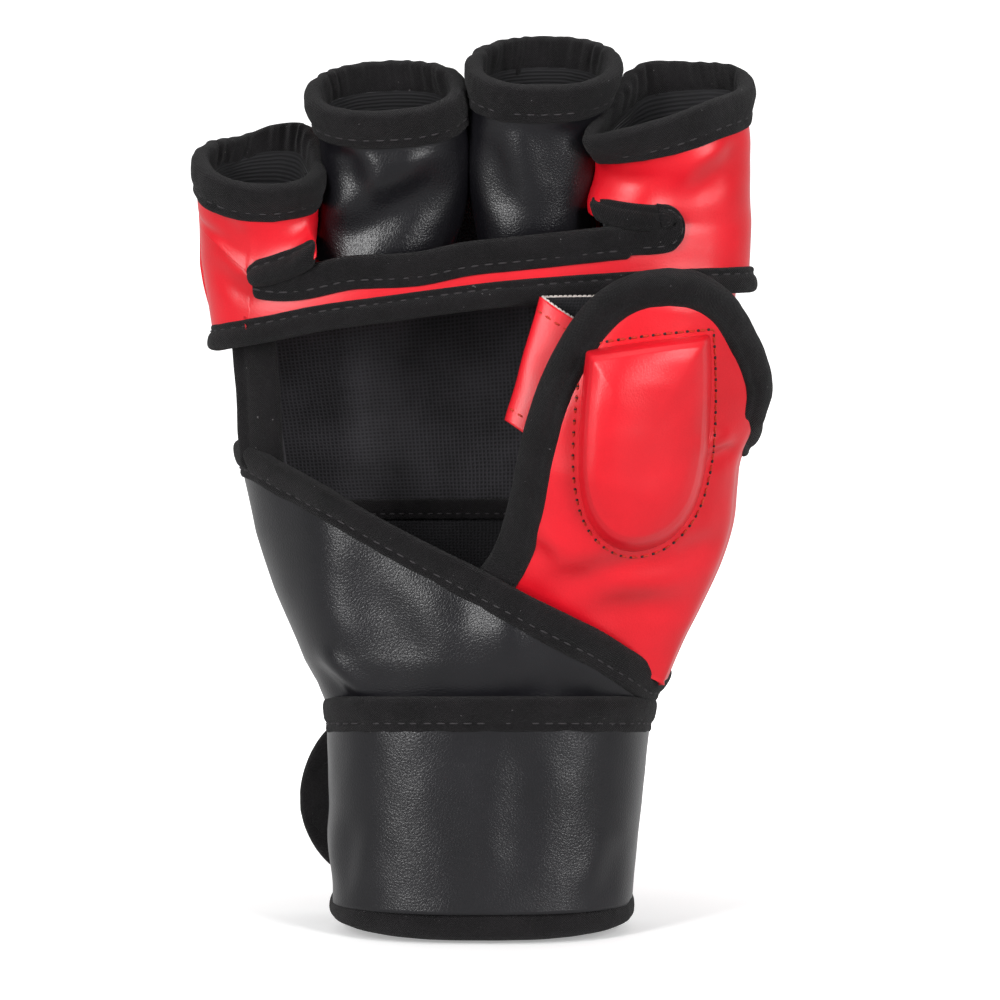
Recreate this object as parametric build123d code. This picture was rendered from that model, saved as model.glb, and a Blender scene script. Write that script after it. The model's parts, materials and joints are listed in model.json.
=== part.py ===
from build123d import *
from functools import lru_cache
import math
import os

# An open-palm grappling glove for the right hand, in millimetres.
# +Z runs from the wrist to the fingers, the palm faces -Y and the thumb is on +X.
# The origin is the centre of the wrist opening, on the flat lower edge of the hem.
# The glove is a stack of sewn layers: a mesh lining next to the hand, foam over the
# back of the hand, and a leather cover outside, with knit tape bound round each edge.

# ---- Layer thicknesses and the small gaps that keep sewn layers apart ----
GAP = 0.3
LINING = 1.2
LEATHER = 1.8
TAPE = 1.1
FINGER_FOAM = 7.0
STRAP = 2.4
PATCH = 0.8
FLAT = 0.4
FAR = 400.0

# ---- Slices of the space inside the glove: z, centre x, centre y, half width, half depth ----
HAND_SLICES = [
    (0.0, -0.5, 1.0, 31.0, 19.0),
    (30.0, 0.0, 1.0, 33.5, 20.0),
    (60.0, 0.5, 1.0, 36.0, 21.0),
    (85.0, -1.5, 0.0, 43.5, 21.0),
    (110.0, 0.0, -1.5, 53.0, 20.0),
    (135.0, 0.0, -3.0, 56.5, 18.5),
    (158.0, 0.0, -4.0, 58.5, 17.0),
    (188.0, 0.0, -4.0, 60.5, 16.5),
]
ROUNDNESS = 0.92
# Thickness of the padding over the back of the hand, at the same slices.
BACK_PAD = [0.0, 0.0, 2.5, 7.0, 15.0, 16.5, 8.0, 5.0]
# Share of the padding that also widens the hand on each side.
PAD_SPREAD = 0.15

# ---- Wrist ----
HEM_HEIGHT = 8.0
HEM_INSIDE = -0.6
CUFF_TOP = 60.0
STRAP_BOTTOM = 8.6
STRAP_TOP = 59.4
STRAP_TAPE = 7.0
STRAP_SEAM_Y = 1.0
STRAP_SEAM_OPEN = 2.0
TIP_X = -46.0
TIP_ROUND = 22.0
TAIL_TOP = 55.0
TAIL_BOTTOM = 11.0
TAIL_REACH = 40.0
BACK_FROM_Y = 10.0
PATCH_X = (-26.0, 24.0)
PATCH_MARGIN = 4.0

# ---- Knuckle line: the axis height of each finger sleeve rises towards the index ----
KNUCKLE_Z = 166.0
KNUCKLE_X = -23.0
KNUCKLE_SLOPE = 0.13
SLEEVE_START = 3.5
BACK_END = 6.0
WRIST_BACK_TOP = 84.0
FOAM_HALF = 52.0
FOAM_FROM_Y = 2.0
LINING_SEAM = (102.0, 108.0)
LINING_SEAM_HALF = 48.0
LINING_SEAM_DEPTH = 1.0

# ---- Palm band across the base of the fingers ----
BAND_OUT = 3.0
BAND_TOP = -1.0
BAND_DROP = 21.0
BAND_TOP_TAPE = 6.0
BAND_LOW_TAPE = 6.5
PALM_EDGE_X = -50.0
PALM_EDGE_TAPE = 6.5

# ---- Flap across the heel of the palm, cut on a slant ----
FLAP_LEFT = (-62.0, 124.0)
FLAP_RIGHT = (44.0, 64.0)
FLAP_TAPE = 8.0
OPENING_EDGE_Y = -9.0

# ---- Finger sleeves: centre x, half width, length along the sleeve, forward tilt ----
SLEEVES = {
    "pinky": (-57.5, 15.0, 32.0, 26.0),
    "ring": (-23.0, 18.0, 46.0, 20.0),
    "middle": (13.5, 17.0, 47.0, 20.0),
    "index": (49.5, 17.5, 37.0, 20.0),
}
SLEEVE_HALF_DEPTH = 10.5
SLEEVE_CENTRE_Y = -3.5
SLEEVE_ROOT = -20.0
RIM_TAPE = 8.0

# ---- Thumb shield: slices of its outside, z, centre x, half width, front y ----
THUMB_SLICES = [
    (66.0, 22.0, 24.0, -28.0),
    (92.0, 28.5, 27.0, -37.0),
    (110.0, 34.0, 27.5, -44.0),
    (130.0, 42.5, 28.5, -48.0),
    (150.0, 46.0, 25.5, -48.0),
    (168.0, 45.0, 13.0, -42.0),
]
THUMB_BACK_Y = 12.0
THUMB_CUT_Y = -32.5
THUMB_TAPE = 7.0
THUMB_CLEAR = 1.6
THUMB_LEFT_X = 30.0
THUMB_PAD_X = 39.5
THUMB_PAD_HALF = 16.0
THUMB_PAD_TOP = 148.0
THUMB_PAD_BOTTOM = 97.0
THUMB_PAD_HEIGHT = 6.0
THUMB_PAD_CLEAR = 0.9
GUSSET_Z = (72.0, 132.0)
GUSSET_GAP = 1.0
GUSSET_PAST = 4.0
STITCH_OUT = 1.4
STITCH = (2.4, 0.8, 0.8)
STITCH_PITCH = 3.6
LOOP_X, LOOP_Y, LOOP_Z = 31.0, -34.0, 146.0
LOOP_HALF = (21.0, 6.6)
LOOP_HEIGHT = 30.0
LOOP_TILT = 14.0
LOOP_WALL = 1.4


def write(name, shape):
    """Saves the closed solids of one sub-part."""
    export_step(Compound(children=[Solid(s.wrapped) for s in shape.solids()]), f"parts/{name}.step")


def box(x, y, z):
    """A block between two limits on each axis; None means without limit."""
    low = [(-FAR if lo is None else lo) for lo, hi in (x, y, z)]
    high = [(FAR if hi is None else hi) for lo, hi in (x, y, z)]
    sizes = [h - l for l, h in zip(low, high)]
    return Pos(*low) * Box(*sizes, align=(Align.MIN, Align.MIN, Align.MIN))


ANY = (None, None)


def slanted(point, slope_deg, low, high):
    """Everything between two parallel planes that rise by slope_deg along +X, measured from point."""
    slab = Pos(0, 0, low) * Box(FAR, FAR, high - low, align=(Align.CENTER, Align.CENTER, Align.MIN))
    return Pos(point[0], 0, point[1]) * Rot(0, -slope_deg, 0) * slab


def slice_face(z, xc, yc, a, b):
    """One horizontal slice with well-rounded corners."""
    return Pos(xc, yc, z) * RectangleRounded(2 * a, 2 * b, ROUNDNESS * min(a, b))


@lru_cache
def hand(offset, pad=0.0):
    """The hand-shaped solid grown by offset, with a share pad of the back padding on its +Y side."""
    faces = []
    for (z, xc, yc, a, b), thick in zip(HAND_SLICES, BACK_PAD):
        extra = pad * thick
        half = b + offset + extra / 2
        faces.append(slice_face(z, xc, yc + extra / 2, a + offset + PAD_SPREAD * extra, half))
    return loft(faces)


def shell(inner, outer, pad_inner=0.0, pad_outer=0.0):
    """The layer of the glove between two offsets from the hand."""
    return hand(outer, pad_outer) - hand(inner, pad_inner)


def knuckle_z(x):
    return KNUCKLE_Z + KNUCKLE_SLOPE * (x - KNUCKLE_X)


KNUCKLE_TILT = math.degrees(math.atan(KNUCKLE_SLOPE))
FLAP_TILT = math.degrees(math.atan2(FLAP_RIGHT[1] - FLAP_LEFT[1], FLAP_RIGHT[0] - FLAP_LEFT[0]))


# ---- Wrist: lining, hem, strap and its closure ----
def wrist_parts():
    """The cuff with its hem, and the strap that wraps it from the little-finger side."""
    write("cuff_lining", shell(0, LINING) & box(ANY, ANY, (HEM_HEIGHT + GAP, CUFF_TOP)))
    cuff_in = LINING + GAP
    cuff_out = cuff_in + LEATHER
    write("cuff_cover", shell(cuff_in, cuff_out) & box(ANY, ANY, (HEM_HEIGHT + GAP, CUFF_TOP)))
    loop_out = cuff_out + GAP + PATCH
    hook_in = loop_out + GAP
    hook_out = hook_in + PATCH
    strap_in = hook_out + GAP
    strap_out = strap_in + STRAP
    across = box(PATCH_X, (BACK_FROM_Y, None), (TAIL_BOTTOM + PATCH_MARGIN, TAIL_TOP - PATCH_MARGIN))
    write("loop_patch", shell(cuff_out + GAP, loop_out) & across)
    write("hook_patch", shell(hook_in, hook_out) & across)

    front = (None, STRAP_SEAM_Y)
    body_z = (STRAP_BOTTOM, STRAP_TOP - STRAP_TAPE - GAP)
    write("strap_front", shell(cuff_out + GAP, strap_out) & box(ANY, front, body_z))
    tape_z = (STRAP_TOP - STRAP_TAPE, STRAP_TOP)
    write("strap_top_tape", shell(cuff_out + GAP, strap_out + TAPE) & box(ANY, front, tape_z))

    write("wrist_hem", shell(HEM_INSIDE, strap_out) & box(ANY, ANY, (0, HEM_HEIGHT)))

    tail = tail_solid(strap_out) - tail_solid(strap_in)
    tail_z = (TAIL_BOTTOM, TAIL_TOP)
    tip_start = TIP_X + TIP_ROUND
    from_seam = box((0, None), (STRAP_SEAM_Y + STRAP_SEAM_OPEN, None), tail_z)
    across_back = box((tip_start, 0), (BACK_FROM_Y, None), tail_z)
    round_end = Pos(tip_start, 0, sum(tail_z) / 2) * Rot(90, 0, 0) * Cylinder(TIP_ROUND, FAR)
    tip = round_end & box((None, tip_start), (BACK_FROM_Y, None), tail_z)
    write("strap_tail", tail & (from_seam + across_back + tip))


def tail_solid(offset):
    """The wrist grown by offset and stretched past the little-finger side, where the tail runs straight."""
    faces = []
    for z, xc, yc, a, b in HAND_SLICES:
        half = a + offset + TAIL_REACH / 2
        faces.append(slice_face(z, xc - TAIL_REACH / 2, yc, half, b + offset))
    return loft(faces)


# ---- Hand: lining, padding and covers ----
def hand_parts():
    """The fixed shell round the back of the hand and the flap over the heel of the palm."""
    back = (OPENING_EDGE_Y, None)
    under_knuckles = slanted((KNUCKLE_X, KNUCKLE_Z), KNUCKLE_TILT, -FAR, -BACK_END)
    write("back_lining", shell(0, LINING) & box(ANY, back, (CUFF_TOP + GAP, None)) & under_knuckles)
    seam_room = box((-LINING_SEAM_HALF, LINING_SEAM_HALF), (0, None), LINING_SEAM)
    write("lining_seam", shell(-LINING_SEAM_DEPTH, -GAP) & seam_room)

    foam_in = LINING + GAP
    foam_room = box((-FOAM_HALF, FOAM_HALF), (FOAM_FROM_Y, None), (WRIST_BACK_TOP, None))
    foam = shell(foam_in, foam_in + FLAT, 0.0, 1.0)
    write("knuckle_foam", foam & foam_room & under_knuckles)
    cover_in = foam_in + FLAT + GAP
    cover_out = cover_in + LEATHER
    cover = shell(cover_in, cover_out, 1.0, 1.0)
    write("back_cover", cover & box(ANY, back, (WRIST_BACK_TOP, None)) & under_knuckles)
    write("wrist_back_cover", cover & box(ANY, back, (CUFF_TOP + GAP, WRIST_BACK_TOP - GAP)))

    below = slanted(FLAP_LEFT, FLAP_TILT, -FAR, -FLAP_TAPE - GAP)
    edge = slanted(FLAP_LEFT, FLAP_TILT, -FLAP_TAPE, 0)
    palm_side = box(ANY, (None, OPENING_EDGE_Y - GAP), (CUFF_TOP + GAP, None))
    flap_in = LINING + GAP
    flap_out = flap_in + LEATHER
    write("heel_flap_lining", shell(0, LINING) & palm_side & below)
    write("heel_flap", shell(flap_in, flap_out) & palm_side & below)
    write("heel_flap_tape", shell(-GAP, flap_out + TAPE) & palm_side & edge)

    above = slanted(FLAP_LEFT, FLAP_TILT, GAP, FAR)
    band_low = slanted((KNUCKLE_X, KNUCKLE_Z - BAND_DROP), KNUCKLE_TILT, -FAR, -GAP)
    side = box((None, PALM_EDGE_X), (OPENING_EDGE_Y - PALM_EDGE_TAPE, OPENING_EDGE_Y - GAP), ANY)
    write("palm_edge_tape", shell(-GAP, flap_out) & side & above & band_low)


# ---- Palm band ----
def band_parts():
    """The bound band across the palm below the finger sleeves."""
    line = (KNUCKLE_X, KNUCKLE_Z)
    width = box(ANY, (None, OPENING_EDGE_Y - GAP), ANY)
    top_tape_low = BAND_TOP - BAND_TOP_TAPE
    low_tape_top = BAND_LOW_TAPE - BAND_DROP
    middle = slanted(line, KNUCKLE_TILT, low_tape_top + GAP, top_tape_low - GAP)
    outside = BAND_OUT + LEATHER
    inside = BAND_OUT - GAP
    write("palm_band", shell(BAND_OUT, outside) & width & middle)
    write("palm_band_lining", shell(inside - LINING, inside) & width & middle)
    tape = shell(inside - LINING - GAP, outside + TAPE) & width
    write("band_top_tape", tape & slanted(line, KNUCKLE_TILT, top_tape_low, BAND_TOP))
    write("band_lower_tape", tape & slanted(line, KNUCKLE_TILT, -BAND_DROP, low_tape_top))


# ---- Finger sleeves ----
def sleeve_layer(name, inner, outer, pad_inner, pad_outer, low, high):
    """A tube layer of one sleeve, offset from its opening, between two heights along the sleeve."""
    x, half, _, tilt = SLEEVES[name]
    a = half - LINING - LEATHER - TAPE - 2 * GAP

    def solid(offset, pad):
        w, d = 2 * (a + offset), 2 * (SLEEVE_HALF_DEPTH + offset) + pad
        corner = ROUNDNESS * min(a, SLEEVE_HALF_DEPTH) + offset
        face = Pos(0, pad / 2, low) * RectangleRounded(w, d, corner)
        return extrude(face, high - low)

    tube = solid(outer, pad_outer) - solid(inner, pad_inner)
    place = Pos(x, SLEEVE_CENTRE_Y, knuckle_z(x)) * Rot(tilt, 0, 0)
    start = box(ANY, ANY, (knuckle_z(x) + SLEEVE_START, None))
    centre_plane = place * box(ANY, (None, 0), ANY)
    return (place * tube) & start, centre_plane


def sleeve_parts(name):
    """Lining, padding, palm panel, back panel and the tape round the rim of one sleeve."""
    length = SLEEVES[name][2]
    along = (SLEEVE_ROOT, length - RIM_TAPE - GAP)
    cover_in = LINING + GAP
    cover_out = cover_in + LEATHER
    lining, front = sleeve_layer(name, 0, LINING, 0, 0, *along)
    write(f"{name}_lining", lining)
    foam, front = sleeve_layer(name, cover_in, cover_in, 0, FINGER_FOAM - GAP, *along)
    write(f"{name}_foam", foam - front)
    cover, front = sleeve_layer(name, cover_in, cover_out, FINGER_FOAM, FINGER_FOAM, *along)
    write(f"{name}_palm_panel", cover & front)
    write(f"{name}_back_panel", cover - Pos(0, 2 * GAP, 0) * front)
    rim, front = sleeve_layer(name, -GAP, cover_out + TAPE, 0, FINGER_FOAM, length - RIM_TAPE, length)
    write(f"{name}_rim_tape", rim)


# ---- Thumb ----
@lru_cache
def thumb_solid(inset):
    """The thumb shield's outside, shrunk by inset."""
    faces = []
    for z, xc, a, front in THUMB_SLICES:
        depth = (THUMB_BACK_Y - front) / 2
        faces.append(slice_face(z, xc, (THUMB_BACK_Y + front) / 2, a - inset, depth - inset))
    return loft(faces)


def pad_outline(grow):
    """Straight across the top and round at the bottom, centred on the thumb pad."""
    half = THUMB_PAD_HALF + grow
    round_z = THUMB_PAD_BOTTOM - grow + half
    top_z = THUMB_PAD_TOP + grow
    square = Pos(0, (round_z + top_z) / 2) * Rectangle(2 * half, top_z - round_z)
    return square + Pos(0, round_z) * Circle(half)


def thumb_parts():
    """The padded shield over the thumb, the keeper loop behind it and the gusset at its side."""
    above_flap = slanted(FLAP_LEFT, FLAP_TILT, THUMB_CLEAR, FAR)
    front = box(ANY, (None, THUMB_CUT_Y), ANY) & above_flap
    cover = thumb_solid(0) - thumb_solid(LEATHER)
    lining = thumb_solid(LEATHER + GAP) - thumb_solid(LEATHER + GAP + LINING)
    tape = thumb_solid(-TAPE) - thumb_solid(LEATHER + LINING + 2 * GAP)
    top_z = THUMB_SLICES[-1][0] - THUMB_TAPE
    left_y = THUMB_CUT_Y - THUMB_TAPE
    top = box(ANY, ANY, (top_z, None))
    left = box((None, THUMB_LEFT_X), (left_y, None), (None, top_z))
    write("thumb_edge_tape", tape & front & (top + left))
    clear = box(ANY, ANY, (top_z - GAP, None)) + box((None, THUMB_LEFT_X + GAP), (left_y - GAP, None), ANY)
    write("thumb_shield", (cover & front) - clear)
    write("thumb_lining", (lining & front) - clear)

    side = box((THUMB_PAD_X, None), (THUMB_CUT_Y + GUSSET_GAP, OPENING_EDGE_Y + GUSSET_PAST), GUSSET_Z)
    write("thumb_gusset", cover & side & above_flap)

    front_y = min(front for z, xc, a, front in THUMB_SLICES)
    pad_y = front_y - THUMB_PAD_CLEAR
    on_front = Pos(THUMB_PAD_X, pad_y, 0) * Rot(90, 0, 0)
    cover_pad = on_front * extrude(pad_outline(0), THUMB_PAD_HEIGHT)
    foam_pad = on_front * extrude(pad_outline(-LEATHER), THUMB_PAD_HEIGHT - LEATHER)
    room = on_front * extrude(pad_outline(-LEATHER + GAP), THUMB_PAD_HEIGHT - LEATHER + GAP)
    write("thumb_pad_cover", cover_pad - room)
    write("thumb_pad_foam", foam_pad)
    write("thumb_pad_stitches", pad_stitches(pad_y))
    shield_room = thumb_solid(-TAPE - GAP) & box(ANY, (None, THUMB_CUT_Y + GAP), ANY)
    write("thumb_loop", thumb_loop(0, LOOP_WALL) - shield_room)
    write("thumb_loop_lining", thumb_loop(LOOP_WALL + GAP, LOOP_WALL + GAP + LINING) - shield_room)


def pad_stitches(pad_y):
    """A row of short threads that follows the pad's outline, a little outside it."""
    wire = pad_outline(STITCH_OUT).faces()[0].outer_wire()
    count = int(wire.length / STITCH_PITCH)
    threads = []
    for i in range(count):
        at = wire @ (i / count)
        along = wire % (i / count)
        turn = math.degrees(math.atan2(along.Y, along.X))
        place = Pos(THUMB_PAD_X + at.X, pad_y - STITCH[1] / 2, at.Y) * Rot(0, -turn, 0)
        threads.append(place * Box(*STITCH))
    return Compound(children=threads)


def thumb_loop(inner, outer):
    """A flattened ring of leather that holds the thumb against the shield."""

    def core(inset):
        a, b = LOOP_HALF[0] - inset, LOOP_HALF[1] - inset
        return extrude(RectangleRounded(2 * a, 2 * b, ROUNDNESS * b), LOOP_HEIGHT / 2, both=True)

    return Pos(LOOP_X, LOOP_Y, LOOP_Z) * Rot(0, LOOP_TILT, 0) * (core(inner) - core(outer))


os.makedirs("parts", exist_ok=True)
wrist_parts()
hand_parts()
band_parts()
for finger in SLEEVES:
    sleeve_parts(finger)
thumb_parts()
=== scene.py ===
import json
import math

import bmesh
import bpy
import numpy as np
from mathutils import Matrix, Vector, noise
from mathutils.bvhtree import BVHTree


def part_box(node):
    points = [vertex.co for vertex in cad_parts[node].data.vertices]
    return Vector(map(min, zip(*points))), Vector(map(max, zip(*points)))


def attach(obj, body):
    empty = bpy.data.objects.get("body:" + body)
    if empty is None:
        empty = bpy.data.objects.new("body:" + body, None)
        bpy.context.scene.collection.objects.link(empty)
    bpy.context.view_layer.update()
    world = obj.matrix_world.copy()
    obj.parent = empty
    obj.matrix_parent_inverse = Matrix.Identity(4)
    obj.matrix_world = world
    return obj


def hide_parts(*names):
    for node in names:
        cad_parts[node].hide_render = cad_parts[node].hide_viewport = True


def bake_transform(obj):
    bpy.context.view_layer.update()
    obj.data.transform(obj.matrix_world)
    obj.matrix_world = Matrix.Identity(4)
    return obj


# The looks of the open-palm grappling glove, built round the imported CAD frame.
# Shapes are worked out in millimetres in the frame's axes: +Z from the wrist to the
# fingers, the palm faces -Y and the thumb is on +X. Meshes are stored in metres.
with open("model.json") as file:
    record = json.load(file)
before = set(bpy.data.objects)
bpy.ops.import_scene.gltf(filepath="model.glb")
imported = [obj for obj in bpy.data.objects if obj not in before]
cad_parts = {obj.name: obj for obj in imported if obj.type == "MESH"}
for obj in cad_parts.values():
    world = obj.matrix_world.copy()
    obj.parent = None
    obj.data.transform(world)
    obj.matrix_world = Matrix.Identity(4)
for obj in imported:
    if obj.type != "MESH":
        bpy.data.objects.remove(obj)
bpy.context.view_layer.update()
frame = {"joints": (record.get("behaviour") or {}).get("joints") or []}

MM = 0.001
VIEW_DISTANCE = 1.15
VIEW_WIDTH = 0.25
VIEW_TILT = 4.0
VIEW_CENTRE = (0.00375, 0.0, 0.1075)
# Outlines are drawn as the camera sees them. This drawn height is the middle of the view, and
# the correction for the camera comes in between the two heights below.
DRAWN_CENTRE = 110.0
SEAT_FROM, SEAT_TO = 4.0, 45.0
JOINTS = {j["name"]: j for j in frame["joints"]}


def box_mm(node):
    """Lowest and highest corner of a CAD node, in millimetres."""
    low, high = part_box(node)
    return np.array(low) / MM, np.array(high) / MM


# ---------------------------------------------------------------- curves and surfaces
def lengths(points):
    """Distance of each point of a polyline from its first one, along the line."""
    return np.r_[0, np.cumsum(np.linalg.norm(np.diff(points, axis=0), axis=1))]


def pick(rows, run, at):
    """Rows of numbers known at the distances run, interpolated at other distances."""
    return np.stack([np.interp(at, run, rows[:, k]) for k in range(rows.shape[1])], 1)


def evenly(points, count, closed=False):
    """Evenly spaced points along a polyline; a closed one ends where it starts and drops that last point."""
    p = np.asarray(points, float)
    run = lengths(p)
    return pick(p, run, np.linspace(0, run[-1], count + int(closed))[:count])


def through(points, steps, closed=False):
    """Catmull-Rom curve through the points, with the same number of steps in each span."""
    p = np.asarray(points, float)
    if closed:
        ends = np.vstack([p[-1:], p, p[:2]])
    else:
        ends = np.vstack([2 * p[:1] - p[1:2], p, 2 * p[-1:] - p[-2:-1]])
    t = np.linspace(0, 1, steps, endpoint=False)[:, None]
    spans = len(p) if closed else len(p) - 1
    out = []
    for a, b, c, d in zip(ends, ends[1:], ends[2:], ends[3 : 3 + spans]):
        square, cube = 2 * a - 5 * b + 4 * c - d, 3 * b - a - 3 * c + d
        out.append(0.5 * (2 * b + (c - a) * t + square * t**2 + cube * t**3))
    return np.vstack(out + [p[:1] if closed else p[-1:]])


def smooth(points, count, closed=False):
    """Evenly spaced points on a smooth curve through the points."""
    return evenly(through(points, 24, closed), count, closed)


def loft(curves, steps):
    """Surface through curves that all have the same number of points."""
    stack = np.array([np.asarray(c, float).ravel() for c in curves])
    return through(stack, steps).reshape(-1, len(curves[0]), 3)


def ease(a):
    a = np.clip(a, 0, 1)
    return a * a * (3 - 2 * a)


def unit(v):
    return v / np.maximum(np.linalg.norm(v, axis=-1, keepdims=True), 1e-9)


def normals(P, inside, closed=False):
    """Unit normals of a grid of points, pointing away from the inside point."""
    if closed:
        du = np.roll(P, -1, 1) - np.roll(P, 1, 1)
    else:
        du = np.gradient(P, axis=1)
    n = unit(np.cross(du, np.gradient(P, axis=0)))
    if np.sum(n * (P - np.array(inside, float))) < 0:
        n = -n
    return n


def ripple(P, size, amount, seed=0.0, stretch=(1, 1, 1)):
    """Smooth random heights over a grid of points, about plus or minus amount."""
    flat = (P / size / np.array(stretch, float)).reshape(-1, 3) + seed
    return amount * np.array([noise.noise(Vector(p)) for p in flat]).reshape(P.shape[:-1])


def fold(P, start, end, depth, width):
    """A crease of leather between two points in x and z: a valley with a ridge beside it."""
    a, b = np.array(start, float), np.array(end, float)
    q = P[..., [0, 2]] - a
    d = b - a
    length = np.linalg.norm(d)
    d = d / length
    along = np.clip(q @ d / length, -0.5, 1.5)
    across = q @ np.array([-d[1], d[0]])
    fade = np.exp(-(((along - 0.5) / 0.42) ** 4))
    valley = np.exp(-((across / width) ** 2))
    ridge = np.exp(-(((across - 1.7 * width) / width) ** 2))
    return depth * fade * (0.8 * ridge - valley)


def folds(P, creases):
    return sum(fold(P, *crease) for crease in creases)


def table(rows, z):
    """One row of a table of sections, smoothly interpolated at height z."""
    rows = np.array(rows, float)
    return np.array([np.interp(z, rows[:, 0], rows[:, k]) for k in range(1, rows.shape[1])])


def oval(section, angle, grow=0.0, power=2.5):
    """Point on a rounded section (left x, right x, back y, front y): 0 is the thumb side, -90 the palm."""
    left, right, back, front = section
    a, b = (right - left) / 2 + grow, (back - front) / 2 + grow
    c, s = math.cos(math.radians(angle)), math.sin(math.radians(angle))
    e = 2 / power
    x = (left + right) / 2 + a * math.copysign(abs(c) ** e, c)
    y = (back + front) / 2 + b * math.copysign(abs(s) ** e, s)
    return x, y


def ring_row(rows, z, angles, grow=0.0):
    """Points round a sectioned body at height z, which may be a number or one for each angle."""
    heights = np.broadcast_to(z, len(angles))
    return np.array([[*oval(table(rows, h), a, grow), h] for h, a in zip(heights, angles)])


def sheet(rows, heights, angles, grow=0.0):
    """Grid of points round a sectioned body, one row for each height."""
    return np.array([ring_row(rows, h, angles, grow) for h in heights])


def seat(P):
    """Sets drawn points in the frame, since the outlines are drawn as the camera sees them."""
    P = np.asarray(P, float)
    x, y, z = P[..., 0], P[..., 1], P[..., 2]
    nearer = 1 + np.minimum(y, 0) / (VIEW_DISTANCE / MM)
    eye_x, eye_z = VIEW_CENTRE[0] / MM, VIEW_CENTRE[2] / MM
    rise = ease((z - SEAT_FROM) / (SEAT_TO - SEAT_FROM))
    seen_z = eye_z + (z - DRAWN_CENTRE) * nearer - y * math.tan(math.radians(VIEW_TILT))
    return np.stack([eye_x + (x - eye_x) * nearer, y, z + (seen_z - z) * rise], -1)


def soften(V, reach):
    """A row of vectors averaged with their neighbours."""
    blur = np.ones(2 * reach + 1) / (2 * reach + 1)
    return np.stack([np.convolve(np.pad(V[:, k], reach, mode="edge"), blur, mode="valid") for k in range(3)], 1)


def blurred(rows, times):
    """Rows of numbers blended with the rows beside them; the first and last stay."""
    out = rows.copy()
    for _ in range(times):
        out[1:-1] = (out[:-2] + 2 * out[1:-1] + out[2:]) / 4
    return out


def soften_near(rows, at, reach):
    """Rows of numbers blurred only near row at."""
    w = np.exp(-(((np.arange(len(rows)) - at) / reach) ** 2))[:, None]
    return rows + (blurred(rows, 40) - rows) * w


# ---------------------------------------------------------------- meshes
def grid_data(P, wrap_u, wrap_v):
    """Faces and face-corner coordinates in millimetres of a grid of points."""
    rows, cols = P.shape[:2]
    i, j = np.meshgrid(
        np.arange(rows if wrap_v else rows - 1), np.arange(cols if wrap_u else cols - 1), indexing="ij"
    )
    i, j = i.ravel(), j.ravel()
    corners = [(i, j), (i, j + 1), (i + 1, j + 1), (i + 1, j)]
    faces = np.stack([(a % rows) * cols + b % cols for a, b in corners], 1)
    mid_row, mid_col = P[rows // 2], P[:, cols // 2]
    u, v = (lengths(np.vstack([line, line[:1]])) for line in (mid_row, mid_col))
    uv = np.stack([np.stack([u[b], v[a]], 1) for a, b in corners], 1)
    return faces, uv


def place(name, data):
    """A new object in the scene."""
    obj = bpy.data.objects.new(name, data)
    bpy.context.scene.collection.objects.link(obj)
    return obj


def mend(mesh, join=0.0, fill=False):
    """Joins points that are nearer than join, or else fills open ends and turns the faces outward."""
    bm = bmesh.new()
    bm.from_mesh(mesh)
    if join:
        bmesh.ops.remove_doubles(bm, verts=bm.verts, dist=join)
    else:
        if fill:
            bmesh.ops.holes_fill(bm, edges=bm.edges, sides=0)
        bmesh.ops.recalc_face_normals(bm, faces=bm.faces)
    bm.to_mesh(mesh)
    bm.free()
    mesh.polygons.foreach_set("use_smooth", [True] * len(mesh.polygons))


def piece(name, grids, material, inside=(0, 5, 110), thick=0.0, levels=1, wrap=(False, False),
          seated=True):
    """A mesh object from one or more grids, with its faces outward, subdivided and then thickened inward."""
    verts, faces, uvs, base = [], [], [], 0
    for P in grids:
        f, uv = grid_data(P, *wrap)
        verts.append(P.reshape(-1, 3))
        faces.append(f + base)
        uvs.append(uv)
        base += len(verts[-1])
    verts, faces, uvs = np.vstack(verts), np.vstack(faces), np.vstack(uvs)
    if seated:
        verts = seat(verts)
    quad = verts[faces]
    face_n = np.cross(quad[:, 2] - quad[:, 0], quad[:, 3] - quad[:, 1])
    if inside is not None and np.sum(face_n * (quad.mean(1) - np.array(inside, float))) < 0:
        faces, uvs = faces[:, ::-1], uvs[:, ::-1]
    mesh = bpy.data.meshes.new(name)
    mesh.from_pydata((verts * MM).tolist(), [], faces.tolist())
    mesh.uv_layers.new(name="UVMap").data.foreach_set("uv", uvs.reshape(-1, 2).ravel())
    if len(grids) > 1:
        mend(mesh, join=0.02 * MM)
    obj = place(name, mesh)
    if levels:
        sub = obj.modifiers.new("sub", "SUBSURF")
        sub.levels = sub.render_levels = levels
    if thick:
        solid = obj.modifiers.new("thick", "SOLIDIFY")
        solid.thickness, solid.offset = thick * MM, -1
    settle(obj)
    obj.data.materials.append(material)
    return obj


def settle(obj):
    """Applies the modifiers, so that the mesh is final."""
    if obj.modifiers:
        dg = bpy.context.evaluated_depsgraph_get()
        made = bpy.data.meshes.new_from_object(obj.evaluated_get(dg))
        obj.modifiers.clear()
        obj.data = made
    obj.data.name = obj.name
    obj.data.polygons.foreach_set("use_smooth", [True] * len(obj.data.polygons))


def ride(obj, body, *nodes):
    """obj moves with one body, in place of these CAD nodes."""
    if nodes:
        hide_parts(*nodes)
    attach(obj, body)


def bend(obj, body, start, end, *nodes):
    """Hides these CAD nodes in place of obj and bakes obj's transform into its mesh; obj does not bend."""
    if nodes:
        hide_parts(*nodes)
    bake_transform(obj)


def tree(*grids):
    """Surface to cast rays on, from grids of drawn points."""
    verts, faces = [], []
    for P in grids:
        faces += (grid_data(P, False, False)[0] + len(verts)).tolist()
        verts += [Vector(p) for p in P.reshape(-1, 3)]
    return BVHTree.FromPolygons(verts, faces)


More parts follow.
